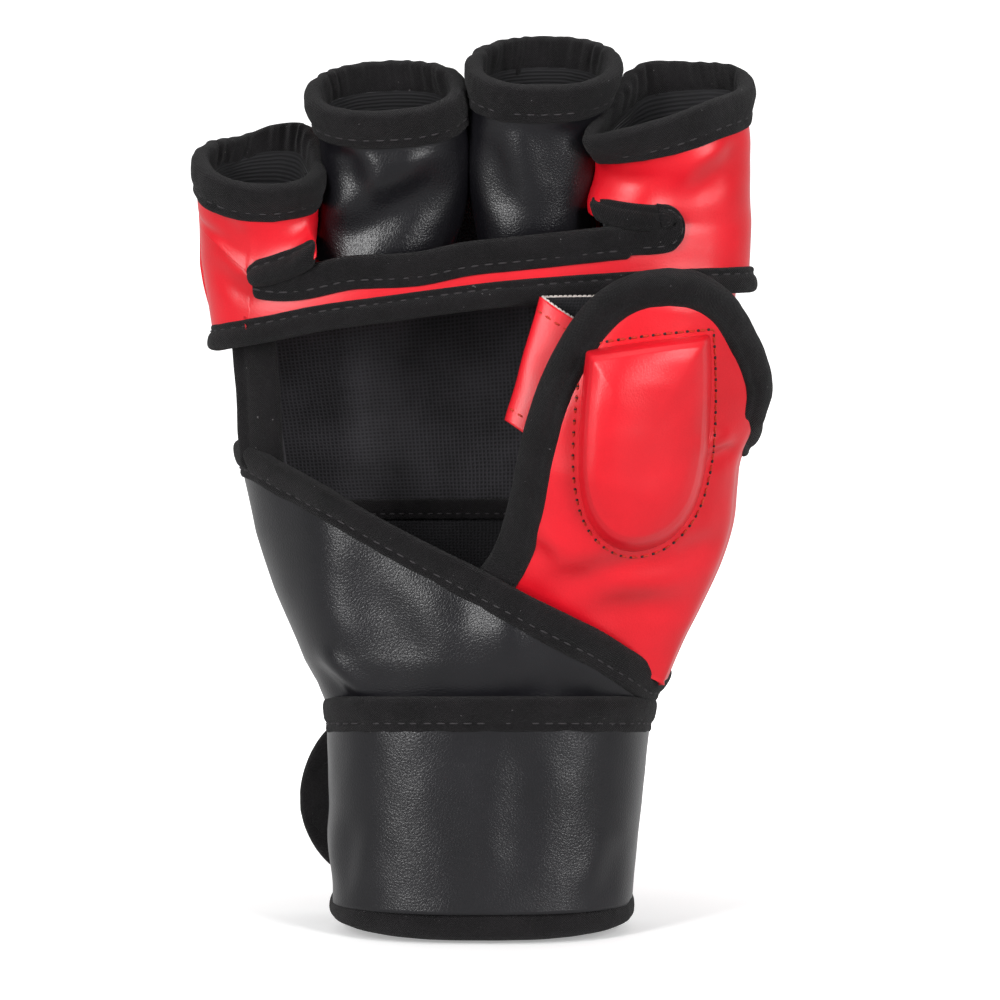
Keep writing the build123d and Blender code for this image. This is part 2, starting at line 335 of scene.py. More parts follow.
def on_surface(surface, p):
    """The drawn point p moved in depth onto a surface, or onto its nearest point where it lies beside it."""
    hit = surface.ray_cast(Vector((p[0], -300, p[2])), Vector((0, 1, 0)))[0]
    return (hit or surface.find_nearest(Vector(p))[0]).y


def lie_on(surface, path, into, width):
    """Path, directions and bulge of a tape laid on a surface, from its path and direction in x and z."""
    into = unit(into)
    depths = [[on_surface(surface, p + share * width * q) for share in (0, 0.5, 1)] for p, q in zip(path, into)]
    near, half, far = np.array(depths).T
    laid = np.stack([path[:, 0], near, path[:, 2]], 1)
    inward = np.stack([into[:, 0] * width, far - near, into[:, 2] * width], 1)
    bulge = soften(np.maximum((near + far) / 2 - half, 0)[:, None] * np.ones(3), 4)[:, 0]
    return laid, soften(unit(inward), 4), bulge


def drape(surface, x, z, lift):
    """Point on the palm side of a surface at x and z, lifted off it towards the viewer."""
    hit = surface.ray_cast(Vector((x, -300, z)), Vector((0, 1, 0)))[0]
    return np.array([x, (hit.y if hit else NO_HIT_Y) - lift, z])


NO_HIT_Y = -30.0

# Half of a folded knit tape seen end on: share of its width and height over the leather.
TAPE_OUTSIDE = [(1.0, 0.55), (0.93, 1.0), (0.8, 1.1), (0.7, 0.78), (0.6, 1.35), (0.35, 1.75), (0.1, 1.75),
                (-0.09, 1.2)]
TAPE_NOSE = -0.16
STITCH_LINE = 0.7
# Length over which the ends of a tape close.
TAPE_END = 1.6


def tape_profile(width, puff, core):
    """Section of a tape round an edge that is core thick: distance in from the edge, height off it."""
    outside = [(d * width, h * puff) for d, h in TAPE_OUTSIDE]
    inside = [(d, -0.6 * h - core) for d, h in outside[::-1]]
    return smooth(outside + [(TAPE_NOSE * width, -core / 2)] + inside, 32, closed=True)


def binding(name, path, into, out, width=8.0, puff=1.0, closed=False, gather=None, seed=1.0,
            free=False, core=1.0, bulge=None):
    """Knit tape folded over an edge. into points from the edge onto the leather and out points off it.

    gather lifts the tape's edge and bulge its middle, both along the path; free keeps the lengths of into.
    """
    ring = tape_profile(width, puff, core)
    across, height = ring[:, 0], ring[:, 1]
    path, into, out = np.asarray(path), np.asarray(into), unit(np.asarray(out))
    if not free:
        into = unit(into)
    lift = height[None, :] + 0 * path[:, :1]
    if gather is not None:
        lift = lift + gather[:, None] * np.clip(1 - across / width, 0, 1.2)
    if bulge is not None:
        share = np.clip(across / width, 0, 1)
        lift = lift + bulge[:, None] * 4 * share * (1 - share)
    P = path[:, None] + across[None, :, None] * into[:, None] + lift[..., None] * out[:, None]
    P = P + (ripple(P, 5.0, 0.38, seed) + ripple(P, 1.7, 0.15, seed))[..., None] * out[:, None]
    if not closed:
        run = lengths(path)
        end = np.minimum(run, run[-1] - run)
        keep = np.sqrt(np.clip(1 - (1 - np.clip(end / TAPE_END, 0, 1)) ** 2, 0.02, 1))
        middle = P.mean(1, keepdims=True)
        P = middle + (P - middle) * keep[:, None, None]
    obj = piece(name, [P], TAPE, inside=None, levels=1, wrap=(True, closed))
    mend(obj.data, fill=not closed)
    line = path + STITCH_LINE * width * into + (0.92 * puff) * out
    return obj, line


# A stitch from end to end: shares of its length, and its radius and dip as shares of the thread's radius.
STITCH_ALONG = np.array([-0.5, -0.44, -0.2, 0.2, 0.44, 0.5])
STITCH_RADIUS = np.array([0.15, 0.75, 1.0, 1.0, 0.75, 0.15])
STITCH_DIP = np.array([-1.3, -0.7, 0.0, 0.0, -0.7, -1.3])
STITCH_SIDES = 6


def stitches(name, line, out, material=None, pitch=3.4, length=2.3, radius=0.24):
    """A row of short threads that lie along a line."""
    line, out = np.asarray(line), unit(np.asarray(out))
    run = lengths(line)
    turn = np.arange(STITCH_SIDES) * 2 * math.pi / STITCH_SIDES
    verts, faces = [], []
    for centre in np.linspace(pitch / 2, run[-1] - pitch / 2, max(2, int(run[-1] / pitch))):
        at = centre + STITCH_ALONG * length
        mid, up = pick(line, run, at), unit(pick(out, run, at))
        side = unit(np.cross(unit(np.gradient(mid, axis=0)), up))
        mid = mid + radius * STITCH_DIP[:, None] * up
        ring = mid[:, None] + radius * STITCH_RADIUS[:, None, None] * (
            np.cos(turn)[None, :, None] * side[:, None] + np.sin(turn)[None, :, None] * up[:, None]
        )
        base, last = len(verts), STITCH_SIDES * (len(at) - 1)
        verts += ring.reshape(-1, 3).tolist()
        for i in range(base, base + last, STITCH_SIDES):
            for j in range(STITCH_SIDES):
                k = (j + 1) % STITCH_SIDES
                faces.append([i + j, i + k, i + STITCH_SIDES + k, i + STITCH_SIDES + j])
        faces.append([base + j for j in reversed(range(STITCH_SIDES))])
        faces.append([base + last + j for j in range(STITCH_SIDES)])
    mesh = bpy.data.meshes.new(name)
    mesh.from_pydata((seat(verts) * MM).tolist(), [], faces)
    mend(mesh)
    mesh.materials.append(material or DARK_THREAD)
    obj = place(name, mesh)
    return obj


# ---------------------------------------------------------------- materials
class Nodes:
    """Small helper for writing the node tree of a new material or of a given world."""

    def __init__(self, name, world=None):
        self.material = world or bpy.data.materials.new(name)
        self.material.use_nodes = True
        self.tree = self.material.node_tree
        self.shader = self.tree.nodes["Background" if world else "Principled BSDF"]

    def join(self, value, socket):
        """Links a value that is another node's output, or else stores it."""
        if isinstance(value, bpy.types.NodeSocket):
            self.tree.links.new(value, socket)
        else:
            socket.default_value = value

    def add(self, kind, links=(), **values):
        """A node; links holds its inputs by name or number, and in_NAME sets one by name."""
        node = self.tree.nodes.new(kind)
        for key, value in values.items():
            if key.startswith("in_"):
                node.inputs[key[3:].replace("_", " ")].default_value = value
            else:
                setattr(node, key, value)
        for key, value in dict(links).items():
            self.join(value, node.inputs[key])
        return node

    def set(self, **values):
        for key, value in values.items():
            self.join(value, self.shader.inputs[key.replace("_", " ")])

    def math(self, operation, a, b=None):
        links = {0: a} if b is None else {0: a, 1: b}
        return self.add("ShaderNodeMath", links, operation=operation).outputs[0]

    def coords(self, kind="Object"):
        return self.add("ShaderNodeTexCoord").outputs[kind]

    def axes(self, coords):
        return self.add("ShaderNodeSeparateXYZ", {0: coords}).outputs

    def is_camera_ray(self):
        return self.add("ShaderNodeLightPath").outputs["Is Camera Ray"]

    def noise(self, coords, size_mm, detail=3.0, rough=0.5):
        values = {"in_Scale": 1 / (size_mm * MM), "in_Detail": detail, "in_Roughness": rough}
        return self.add("ShaderNodeTexNoise", {"Vector": coords}, **values).outputs["Fac"]

    def ramp(self, factor, low, high, start=0.0, end=1.0):
        node = self.add("ShaderNodeValToRGB", {"Fac": factor})
        first, last = node.color_ramp.elements
        first.position, last.position = start, end
        first.color, last.color = (*low, 1), (*high, 1)
        return node.outputs["Color"]

    def span(self, factor, low, high, start=0.0, end=1.0):
        """low to high, as the factor goes from start to end."""
        node = self.add("ShaderNodeMapRange", {"Value": factor}, in_From_Min=start, in_From_Max=end,
                        in_To_Min=low, in_To_Max=high)
        return node.outputs["Result"]

    def mix_colours(self, factor, a, b):
        return self.add("ShaderNodeMix", data_type="RGBA", links={0: factor, 6: a, 7: b}).outputs[2]

    def mix_numbers(self, factor, a, b):
        return self.add("ShaderNodeMix", data_type="FLOAT", links={0: factor, 2: a, 3: b}).outputs[0]

    def sum_of(self, *terms):
        """Weighted sum of outputs, each given with its weight."""
        scaled = [self.math("MULTIPLY", value, weight) for value, weight in terms]
        return self.math("ADD", *scaled)

    def bump(self, heights, strengths, distance_mm):
        """Chained bumps, coarse first."""
        links = {}
        for height, strength in zip(heights, strengths):
            links["Height"] = height
            node = self.add("ShaderNodeBump", links, in_Strength=strength, in_Distance=distance_mm * MM)
            links = {"Normal": node.outputs["Normal"]}
        self.set(Normal=node.outputs["Normal"])


def leather(name, dark, light, grain_mm, rough, grain):
    """Coated synthetic leather: pebbles between fine creases, cloudy colour and a satin coat."""
    n = Nodes(name)
    at = n.coords()
    cloud = n.noise(at, 22, 4)
    fine = n.noise(at, grain_mm * 0.5, 4, 0.65)
    pebble = n.add("ShaderNodeTexVoronoi", {"Vector": at}, feature="DISTANCE_TO_EDGE",
                   in_Scale=1 / (grain_mm * MM))
    crease = n.math("MINIMUM", n.math("MULTIPLY", pebble.outputs["Distance"], 4.0), 1.0)
    n.set(
        Base_Color=n.ramp(n.sum_of((cloud, 0.75), (fine, 0.25)), dark, light, 0.35, 0.65),
        Roughness=n.span(n.sum_of((fine, 0.6), (cloud, 0.4)), *rough),
        Specular_IOR_Level=0.5,
    )
    n.bump([n.noise(at, 3.5, 3), crease, fine], [0.5 * grain, 0.5 * grain, 0.4 * grain], 0.06)
    return n.material


def knit_tape():
    """Matte stretch tape: a fine knit with fuzz and a few pale flecks of lint."""
    n = Nodes("knit_tape")
    at = n.coords()
    across, along, _ = n.axes(n.coords("UV"))
    turn = 2 * math.pi / 0.62
    wale = n.math("SINE", n.math("MULTIPLY", across, turn))
    course = n.math("SINE", n.math("MULTIPLY", along, turn * 1.15))
    knit = n.math("MULTIPLY", wale, course)
    fuzz = n.noise(at, 0.55, 5, 0.75)
    patch = n.noise(at, 9, 3)
    fleck = n.ramp(n.noise(at, 0.9, 1, 0.3), (0, 0, 0), (1, 1, 1), 0.79, 0.83)
    tone = n.math("ADD", n.sum_of((fuzz, 0.6), (patch, 0.4)), n.math("MULTIPLY", knit, 0.05))
    body = n.ramp(tone, (0.0020, 0.0017, 0.0021), (0.0112, 0.0096, 0.0110), 0.38, 0.66)
    colour = n.mix_colours(n.math("MULTIPLY", fleck, 0.35), body, (0.32, 0.30, 0.31, 1))
    n.set(Base_Color=colour, Roughness=0.92, Sheen_Weight=0.06, Sheen_Roughness=0.5, Specular_IOR_Level=0.22)
    n.bump([patch, knit, fuzz], [0.3, 0.7, 1.0], 0.22)
    return n.material


def mesh_fabric(name, pitch, dark, light, ribs=False):
    """Woven lining: threads cross at a fixed pitch in the piece's own surface directions."""
    n = Nodes(name)
    wobble = n.math("MULTIPLY", n.noise(n.coords(), 6, 2), 0.5)
    turn = 2 * math.pi / pitch
    across, along, _ = n.axes(n.coords("UV"))
    wave = lambda side: n.math("SINE", n.math("MULTIPLY", n.math("ADD", side, wobble), turn))
    warp, weft = wave(across), wave(along)
    weave = weft if ribs else n.math("MAXIMUM", warp, weft)
    tone = n.sum_of((weave, 0.25), (n.noise(n.coords(), 12, 3), 0.9))
    colour = n.ramp(tone, dark, light, 0.2, 0.8)
    n.set(Base_Color=colour, Roughness=0.8, Sheen_Weight=0.1, Specular_IOR_Level=0.3)
    n.bump([weave, n.noise(n.coords(), 0.5, 4, 0.7)], [0.7, 0.35], 0.15)
    return n.material


def thread(name, colour):
    """Twisted sewing thread."""
    n = Nodes(name)
    twist = n.noise(n.coords(), 0.3, 3)
    dark = tuple(0.5 * c for c in colour)
    n.set(Base_Color=n.ramp(twist, dark, colour, 0.3, 0.7), Roughness=0.7)
    n.bump([twist], [0.6], 0.08)
    return n.material


RED = leather("red_leather", (0.62, 0.004, 0.012), (0.76, 0.006, 0.018), 0.8, (0.32, 0.44), 0.45)
BLACK = leather("black_leather", (0.0040, 0.0038, 0.0052), (0.0070, 0.0066, 0.0088), 0.75, (0.27, 0.38), 0.8)
TAPE = knit_tape()
MESH = mesh_fabric("mesh_lining", 1.0, (0.006, 0.0056, 0.0066), (0.032, 0.030, 0.035))
# A denser mesh, darker than MESH: partly its own colour, partly painted shade where it shows low in the palm,
# behind the gap between the ring and middle sleeves and inside the keeper loop.
MESH_DENSE_SHADED = mesh_fabric("mesh_lining_dense_shaded", 0.8, (0.005, 0.005, 0.006), (0.016, 0.015, 0.018))
RIBBED = mesh_fabric("ribbed_lining", 0.8, (0.005, 0.0048, 0.0056), (0.014, 0.0135, 0.0155), ribs=True)
CANVAS = mesh_fabric("raw_canvas", 0.5, (0.35, 0.3, 0.28), (0.75, 0.7, 0.66))
DARK_THREAD = thread("dark_thread", (0.034, 0.030, 0.033))
RED_THREAD = thread("red_thread", (0.66, 0.026, 0.006))
# Black thread, which also serves as painted shade for the short dark marks in the needle holes round the thumb
# pad.
BLACK_THREAD_AND_HOLE_SHADE = thread("black_thread_and_hole_shade", (0.012, 0.01, 0.011))

# ---------------------------------------------------------------- sections of the glove
# Each row: height, little-finger-side and thumb-side x, back y and palm y of the outside.
HAND = [
    (0, -36.5, 35.0, 24.0, -24.0),
    (30, -37.0, 37.5, 25.0, -25.0),
    (58, -38.5, 41.0, 26.5, -25.0),
    (72, -44.0, 45.0, 29.0, -24.5),
    (87, -50.0, 51.0, 32.0, -24.0),
    (102, -55.0, 57.0, 35.0, -23.5),
    (118, -58.5, 60.0, 36.5, -22.5),
    (135, -60.5, 60.5, 35.0, -21.5),
    (152, -63.0, 61.0, 29.0, -21.0),
    (168, -65.0, 62.0, 22.0, -20.5),
]
BAND = [
    (146, -67.0, 65.3, 14.0, -26.0),
    (170, -70.6, 66.0, 12.0, -27.0),
    (190, -71.6, 67.0, 10.0, -28.0),
]
STRAP = [
    (0, -38.3, 36.3, 26.5, -27.0),
    (27, -39.0, 38.5, 27.0, -27.5),
    (60, -39.6, 41.6, 28.5, -28.0),
]
BAND_POWER = 2.6
WRIST_HEART = (0, 0, 30)

# ---------------------------------------------------------------- wrist
STRAP_ROWS, STRAP_COLS = 34, 210
STRAP_LAP = 1.5
STRAP_FOLDS = [((-37, 8), (-33, 30), 0.9, 3.0), ((30, 10), (36, 26), 0.6, 3.5), ((8, 12), (10, 50), 0.5, 5)]
# The strap gets narrower over this stretch of its length, towards its rounded tip.
NARROW_FROM, NARROW_OVER = 0.58, 0.14
TIP_X, TIP_ROUND, TIP_HALF, TIP_MIDDLE = -46.5, 17.0, 23.0, 31.5
TIP_COLS = 34
FLATTEST_TIP = 0.0009


def strap_path(z):
    """Once round the wrist at height z from the little-finger side, over the palm first, then straight on."""
    ring = ring_row(STRAP, z, np.linspace(-178, 100, 160))
    start = ring[-1]
    run_out = [[x, start[1] + 0.006 * (start[0] - x), z] for x in np.linspace(start[0] - 1, TIP_X, 40)]
    line = np.vstack([ring, run_out])
    run = lengths(line)
    round_from = run[-1] - TIP_ROUND
    flat = np.linspace(0, round_from, STRAP_COLS - TIP_COLS, endpoint=False)
    round_end = round_from + TIP_ROUND * np.sin(np.linspace(0, math.pi / 2, TIP_COLS))
    return pick(line, run, np.r_[flat, round_end])


def strap_point(at, z, base_z):
    """Point of the strap at height z above a point of its base line: the wrist flares towards the hand."""
    here, base = table(STRAP, z), table(STRAP, base_z)
    wider = (here[1] - here[0]) / (base[1] - base[0])
    deeper = (here[2] - here[3]) / (base[2] - base[3])
    return [(here[0] + here[1]) / 2 + (at[0] - (base[0] + base[1]) / 2) * wider, at[1] * deeper, z]


def strap_bend(obj, *nodes):
    bend(obj, "strap_tail", (40, 0, 30), (40, 13, 30), *nodes)


def build_strap():
    """The strap from its fixed front round the thumb side to the tail behind the wrist."""
    low, high = box_mm("strap_front")[0][2], box_mm("strap_top_tape")[1][2]
    base = strap_path((low + high) / 2)
    low -= STRAP_LAP
    run = lengths(base)
    past = np.clip((run - (run[-1] - TIP_ROUND)) / TIP_ROUND, 0, 1)
    half = TIP_HALF * np.sqrt(np.clip(1 - past**2, FLATTEST_TIP, 1))
    narrower = ease((run / run[-1] - NARROW_FROM) / NARROW_OVER)
    top = np.where(past > 0, TIP_MIDDLE + half, high)
    bottom = np.where(past > 0, TIP_MIDDLE - half, low)
    top = np.minimum(top, high - (high - TIP_MIDDLE - TIP_HALF) * narrower)
    bottom = np.maximum(bottom, low + (TIP_MIDDLE - TIP_HALF - low) * narrower)
    P = np.array([
        [strap_point(at, z, base[0][2]) for at, z in zip(base, bottom + (top - bottom) * share)]
        for share in np.linspace(0, 1, STRAP_ROWS)
    ])
    n = normals(P, WRIST_HEART)
    P += (ripple(P, 16, 0.55, 3.0, (1, 1, 3.5)) + ripple(P, 7, 0.12, 8.0))[..., None] * n
    P += (folds(P, STRAP_FOLDS) * (P[..., 1] < 0))[..., None] * n
    strap_bend(piece("strap_wrap", [P], BLACK, inside=WRIST_HEART, thick=2.0),
               "strap_front", "strap_tail")
    n = normals(P, WRIST_HEART)
    build_strap_tape(P, n)
    hook = (P - 2.4 * n)[6:-6, 130:-10]
    hook = piece("strap_hook_patch", [hook], TAPE, inside=WRIST_HEART, thick=0.8)
    strap_bend(hook, "hook_patch")


def build_strap_tape(P, n):
    """One tape along the strap's upper edge, round the tip and back along the lower edge of the tail."""
    turn_from = STRAP_COLS // 2
    rim = lambda grid: np.vstack([grid[-1], grid[::-1, -1][1:-1], grid[0, turn_from:][::-1]])
    heart = P[STRAP_ROWS // 2, -TIP_COLS]
    aim_top, aim_low = P[-6].copy(), P[5].copy()
    aim_top[-TIP_COLS:], aim_low[-TIP_COLS:] = heart, heart
    aim = np.vstack([aim_top, np.tile(heart, (STRAP_ROWS - 2, 1)), aim_low[turn_from:][::-1]])
    edge, out = rim(P), rim(n)
    count = int(lengths(edge)[-1] / 1.1)
    # The directions ride along, too small to change the spacing.
    both = evenly(np.hstack([edge, out * MM, aim * MM]), count)
    edge, out, into = both[:, :3], unit(both[:, 3:6]), unit(both[:, 6:] / MM - both[:, :3])
    into = unit(into - np.sum(into * out, 1, keepdims=True) * out)
    tape, line = binding("strap_tape", edge - 0.9 * out, into, out, width=8.0, puff=1.25, seed=2.0)
    strap_bend(tape, "strap_top_tape")
    strap_bend(stitches("strap_tape_stitches", line, out))


def build_cuff():
    """Hem tape, cover, lining and loop patch of the cuff."""
    angles = np.linspace(-180, 180, 180, endpoint=False)
    hem_z = box_mm("wrist_hem")[0][2]
    around = ring_row(HAND, hem_z, angles, 0.2)
    around[:, 2] = 1.6 + 2.4 * (np.abs(around[:, 0]) / 38) ** 3
    out = unit(np.c_[np.cos(np.radians(angles)), np.sin(np.radians(angles)), 0 * angles])
    into = np.tile([0, 0, 1.0], (len(angles), 1))
    hem, line = binding("wrist_hem_tape", around, into, out, width=8.0, puff=1.35, closed=True, seed=4.0)
    ride(hem, "hand", "wrist_hem")
    ride(stitches("wrist_hem_stitches", np.vstack([line, line[:1]]), np.vstack([out, out[:1]])), "hand")

    heights, angles = np.linspace(4, 62, 30), np.linspace(-180, 180, 120)
    cover = sheet(HAND, heights, angles, -1.0)
    inner = sheet(HAND, heights, angles, -2.8)
    pile = sheet(STRAP, np.linspace(14, 50, 20), np.linspace(62, 125, 40), -3.4)
    ride(piece("cuff_cover_skin", [cover], BLACK, inside=WRIST_HEART, thick=1.2), "hand",
         "cuff_cover", "loop_patch")
    ride(piece("cuff_inner_lining", [inner], MESH_DENSE_SHADED, inside=WRIST_HEART, thick=0.8), "hand",
         "cuff_lining")
    ride(piece("cuff_loop_pile", [pile], TAPE, inside=WRIST_HEART, thick=0.9), "hand")


# ---------------------------------------------------------------- hand
FLAP_EDGE = [(-61, 124.0), (-52.5, 118.5), (-40.5, 112.5), (-27.5, 105.0), (-14.5, 98.0), (-0.5, 91.0),
             (12, 84.3), (28.5, 76.3), (43.5, 67.0)]
FLAP_FOOT = 56.5
FLAP_ROWS = 44
FLAP_OVER = 2.4
FLAP_FOLDS = [((-45, 70), (-31, 57), 1.6, 2.4), ((-38, 96), (-14, 66), 0.9, 7), ((-6, 92), (-3, 62), 0.7, 6),
              ((16, 78), (17, 60), 0.6, 5)]
# The palm's two soft mounds under the flap: x, half width and height.
FLAP_SWELLS = [(8, 20, 4.5), (-39, 10, 2.0)]


def flap_column(angle):
    """One column of the flap, from under the strap up to the flap's slanted edge."""
    xs, zs = zip(*FLAP_EDGE)
    z = 90.0
    for _ in range(12):
        x = oval(table(HAND, z), angle, FLAP_OVER)[0]
        z = float(np.interp(x, xs, zs)) if angle > -180 else zs[0] - 0.06 * (-180 - angle)
    over = FLAP_OVER - 3.0 * (1 - ease((angle + 215) / 16))
    heights = np.linspace(FLAP_FOOT, max(z, 60.0), FLAP_ROWS)
    snug, loose = (ring_row(HAND, heights, np.full(FLAP_ROWS, angle), grow) for grow in (over - 2.0, over))
    return snug + (loose - snug) * ease((heights - FLAP_FOOT - 0.5) / 13)[:, None]


def build_flap():
    """The flap over the heel of the palm, with its slanted bound edge."""
    angles = np.r_[np.linspace(-215, -184, 10, endpoint=False), np.linspace(-184, 4, 112)]
    P = np.swapaxes(np.array([flap_column(a) for a in angles]), 0, 1)
    n = normals(P, (0, 5, 90))
    relief = ripple(P, 26, 1.1, 5.0) + ripple(P, 9, 0.16, 2.0) + folds(P, FLAP_FOLDS)
    P = P + (relief * (P[..., 1] < 4))[..., None] * n
    swell = sum(high * np.exp(-(((P[..., 0] - x) / wide) ** 2)) for x, wide, high in FLAP_SWELLS)
    P[..., 1] -= swell * ease((P[..., 2] - 60) / 18) * (n[..., 1] < 0)
    flap = piece("heel_flap_skin", [P], BLACK, thick=1.4)
    ride(flap, "hand", "heel_flap", "heel_flap_lining")
    n = normals(P, (0, 5, 90))
    edge = evenly(np.hstack([P[-1], n[-1], P[-5]])[8:], 130)
    out = unit(edge[:, 3:6])
    into = unit(edge[:, 6:] - edge[:, :3])
    into = unit(into - np.sum(into * out, 1, keepdims=True) * out)
    edge = edge[:, :3] - 0.7 * out
    tape, line = binding("heel_flap_binding", edge, into, out, width=8.4, puff=1.25, seed=6.0)
    ride(tape, "hand", "heel_flap_tape")
    ride(stitches("heel_flap_stitches", line, out), "hand")


KNUCKLE_X = JOINTS["ring_curl"]["pos_m"][0] / MM
KNUCKLE_TOP = 163.0
KNUCKLE_SLOPE = 0.13


def knuckle_line(x):
    """Height of the upper edge of the back of the hand, just below the finger sleeves."""
    return KNUCKLE_TOP + KNUCKLE_SLOPE * (x - KNUCKLE_X)


LINING_INSIDE = (0, 60, 120)
LINING_TOP = 170.0


def flatten(P):
    """Keeps the lining in front of the padded back."""
    return np.stack([P[..., 0], np.minimum(P[..., 1], 13.5 + ripple(P, 20, 1.6, 4.0)), P[..., 2]], -1)


def build_lining():
    """The inside of the back of the glove, seen through the open palm."""
    angles = np.linspace(-152, -388, 110)
    seam = box_mm("lining_seam")
    seam_z = (seam[0][2] + seam[1][2]) / 2
    upper = sheet(HAND, np.linspace(seam_z, LINING_TOP, 56), angles, -4.2)
    tops = knuckle_line(upper[-1, :, 0]) - 1.0
    upper[..., 2] = seam_z + (upper[..., 2] - seam_z) * (tops - seam_z) / (LINING_TOP - seam_z)
    upper = piece("palm_lining_mesh", [flatten(upper)], MESH, inside=LINING_INSIDE, thick=0.8)
    ride(upper, "hand", "back_lining")
    # The lower lining is darker: partly a denser fabric, partly painted shade low in the palm.
    lower = flatten(sheet(HAND, np.linspace(58, seam_z + 2, 30), angles, -4.8)) - (0, 0.8, 0)
    lower = piece("palm_lining_lower", [lower], MESH_DENSE_SHADED, inside=LINING_INSIDE, thick=0.8)
    ride(lower, "hand")
    heights = seam_z + 1.5 + 1.2 * np.cos(np.radians(angles - 90))
    across = flatten(np.array([ring_row(HAND, heights, angles, -5.0)]))[0][14:-14]
    out = np.tile([0, -1.0, 0], (len(across), 1))
    into = np.tile([0, 0, -1.0], (len(across), 1))
    tape, line = binding("palm_lining_seam", across + (0, -1.4, 2), into, out, width=4.5, puff=0.6, seed=7.0)
    ride(tape, "hand", "lining_seam")
    line = line + (0, -0.1, 0)
    ride(stitches("palm_lining_stitches", line, out, pitch=2.4, length=1.5, radius=0.2), "hand")

    path = smooth([(-51.6, -8.0, 117), (-52.3, -9.0, 126), (-52.8, -11.0, 138), (-54.2, -13.0, 153)], 40)
    into = np.tile([-0.93, 0.36, 0.0], (len(path), 1))
    out = np.tile([-0.36, -0.93, 0.0], (len(path), 1))
    tape = binding("palm_side_binding", path, into, out, width=10.0, puff=1.1, seed=9.0)[0]
    ride(tape, "hand", "palm_edge_tape")


BACK_INSIDE = (0, -10, 120)
BACK_FOOT = 86.0
PAD_HEIGHT, PAD_HALF_WIDTH, PAD_LOW, PAD_BELOW_EDGE = 4.2, 52.0, 112.0, 5.0
PAD_CHANNELS = (-40.0, -5.0, 31.0)
PAD_CROSS = 137.0
# How far the web starts below the knuckle line and rises over it, and its peak between two fingers, which fills
# the gap between the ring and middle sleeves with dark mesh as painted shade.
WEB_BELOW, WEB_RISE, WEB_PEAK, WEB_PEAK_X = 7.0, 13.0, 11.0, -4.5


def knuckle_pad(x, y, z):
    """Height of the padded block over the back of the hand, with its sewn channels."""
    pad = np.clip((z - PAD_LOW) / 5, 0, 1) * np.clip((knuckle_line(x) - PAD_BELOW_EDGE - z) / 4, 0, 1)
    pad = ease(pad * np.clip((PAD_HALF_WIDTH - np.abs(x + 1)) / 5, 0, 1) * (y > 0))
    for channel in PAD_CHANNELS:
        pad = pad * (1 - 0.75 * np.exp(-(((x - channel) / 1.8) ** 2)))
    return PAD_HEIGHT * pad * (1 - 0.55 * np.exp(-(((z - PAD_CROSS - KNUCKLE_SLOPE * x) / 2.0) ** 2)))


def build_back():
    """Black wrist panel, red back panel with its padded block, and the web behind the finger sleeves."""
    angles = np.linspace(-14, 194, 120)
    wrist = sheet(HAND, np.linspace(56, 90, 24), angles, 0.4)
    wrist = wrist + ripple(wrist, 15, 0.5, 3.3)[..., None] * normals(wrist, (0, 0, 70))
    ride(piece("back_wrist_panel", [wrist], BLACK, thick=1.3), "hand", "wrist_back_cover")

    tops = knuckle_line(np.array([oval(table(HAND, 150), a)[0] for a in angles]))
    P = np.array([ring_row(HAND, BACK_FOOT + (tops - BACK_FOOT) * share, angles, 0.8)
                  for share in np.linspace(0, 1, 60)])
    n = normals(P, BACK_INSIDE)
    P = P + (knuckle_pad(*np.moveaxis(P, -1, 0)) + ripple(P, 18, 0.5, 9.0))[..., None] * n
    ride(piece("back_cover_skin", [P], RED, inside=BACK_INSIDE, thick=1.5), "hand",
         "back_cover", "knuckle_foam")
    seam, out = P[1, 14:-12], normals(P, BACK_INSIDE)[1, 14:-12]
    ride(stitches("back_seam_stitches", seam + 0.12 * out, out, BLACK_THREAD_AND_HOLE_SHADE), "hand")

    xs = np.linspace(-54, 52, 80)
    rise = WEB_RISE + WEB_PEAK * np.exp(-(((xs - WEB_PEAK_X) / 6) ** 2))
    low = knuckle_line(xs) - WEB_BELOW
    web = np.array([
        np.stack([xs, 3.5 + 9.0 * (1 - share) ** 2 - 0.0008 * xs**2, low + (rise + WEB_BELOW) * share], 1)
        for share in np.linspace(0, 1, 16)
    ])
    # The web is partly real webbing and partly a dark sheet standing as painted shade behind the gaps between
    # the finger sleeves.
    ride(piece("knuckle_web", [web], MESH_DENSE_SHADED, inside=(0, 60, 165), thick=0.8), "hand")


# ---------------------------------------------------------------- finger sleeves
COLS = 104
RIM_COLS = 300
RIM_WIDTH = 8.6
GATHER = 0.42


def loop(c, a, b, tilt, roll=0.0, power=2.3):
    """A closed rounded loop: left, palm side, right, back. tilt raises its back and roll its thumb side."""
    t = np.linspace(0, 1, COLS, endpoint=False)
    theta = math.pi + 2 * math.pi * t
    cos, sin = np.cos(theta), np.sin(theta)
    x = a * np.sign(cos) * np.abs(cos) ** (2 / power)
    y = b * np.sign(sin) * np.abs(sin) ** (2 / power)
    k, r = math.radians(tilt), math.radians(roll)
    z = y * math.sin(k) + x * math.sin(r)
    return np.stack([c[0] + x * math.cos(r), c[1] + y * math.cos(k), c[2] + z], 1)


# The index rim is pulled over towards the middle finger at its palm-side corner, and the little
# finger's rim rises at the back, towards the ring finger.
INDEX_RIM = [(27.5, -22, 204.5), (25.8, -30, 199.2), (34, -34.5, 200.3), (46, -33, 204.0), (57, -27.5, 208.5),
             (65.2, -16, 212.0), (63.5, -4, 216.3), (51.5, -1, 217.6), (39, -3.5, 217.6), (33, -12, 212.5)]
PINKY_RIM = [(-71.6, -16, 195.0), (-69, -24, 190.8), (-63, -28, 188.0), (-54.5, -29, 186.8),
             (-46.5, -27, 187.8), (-41.2, -19.5, 190.8), (-40.6, -11, 196.5), (-44, -4.5, 202.2),
             (-52, -2.0, 202.4), (-61, -3, 199.8), (-68.5, -8, 198.4)]
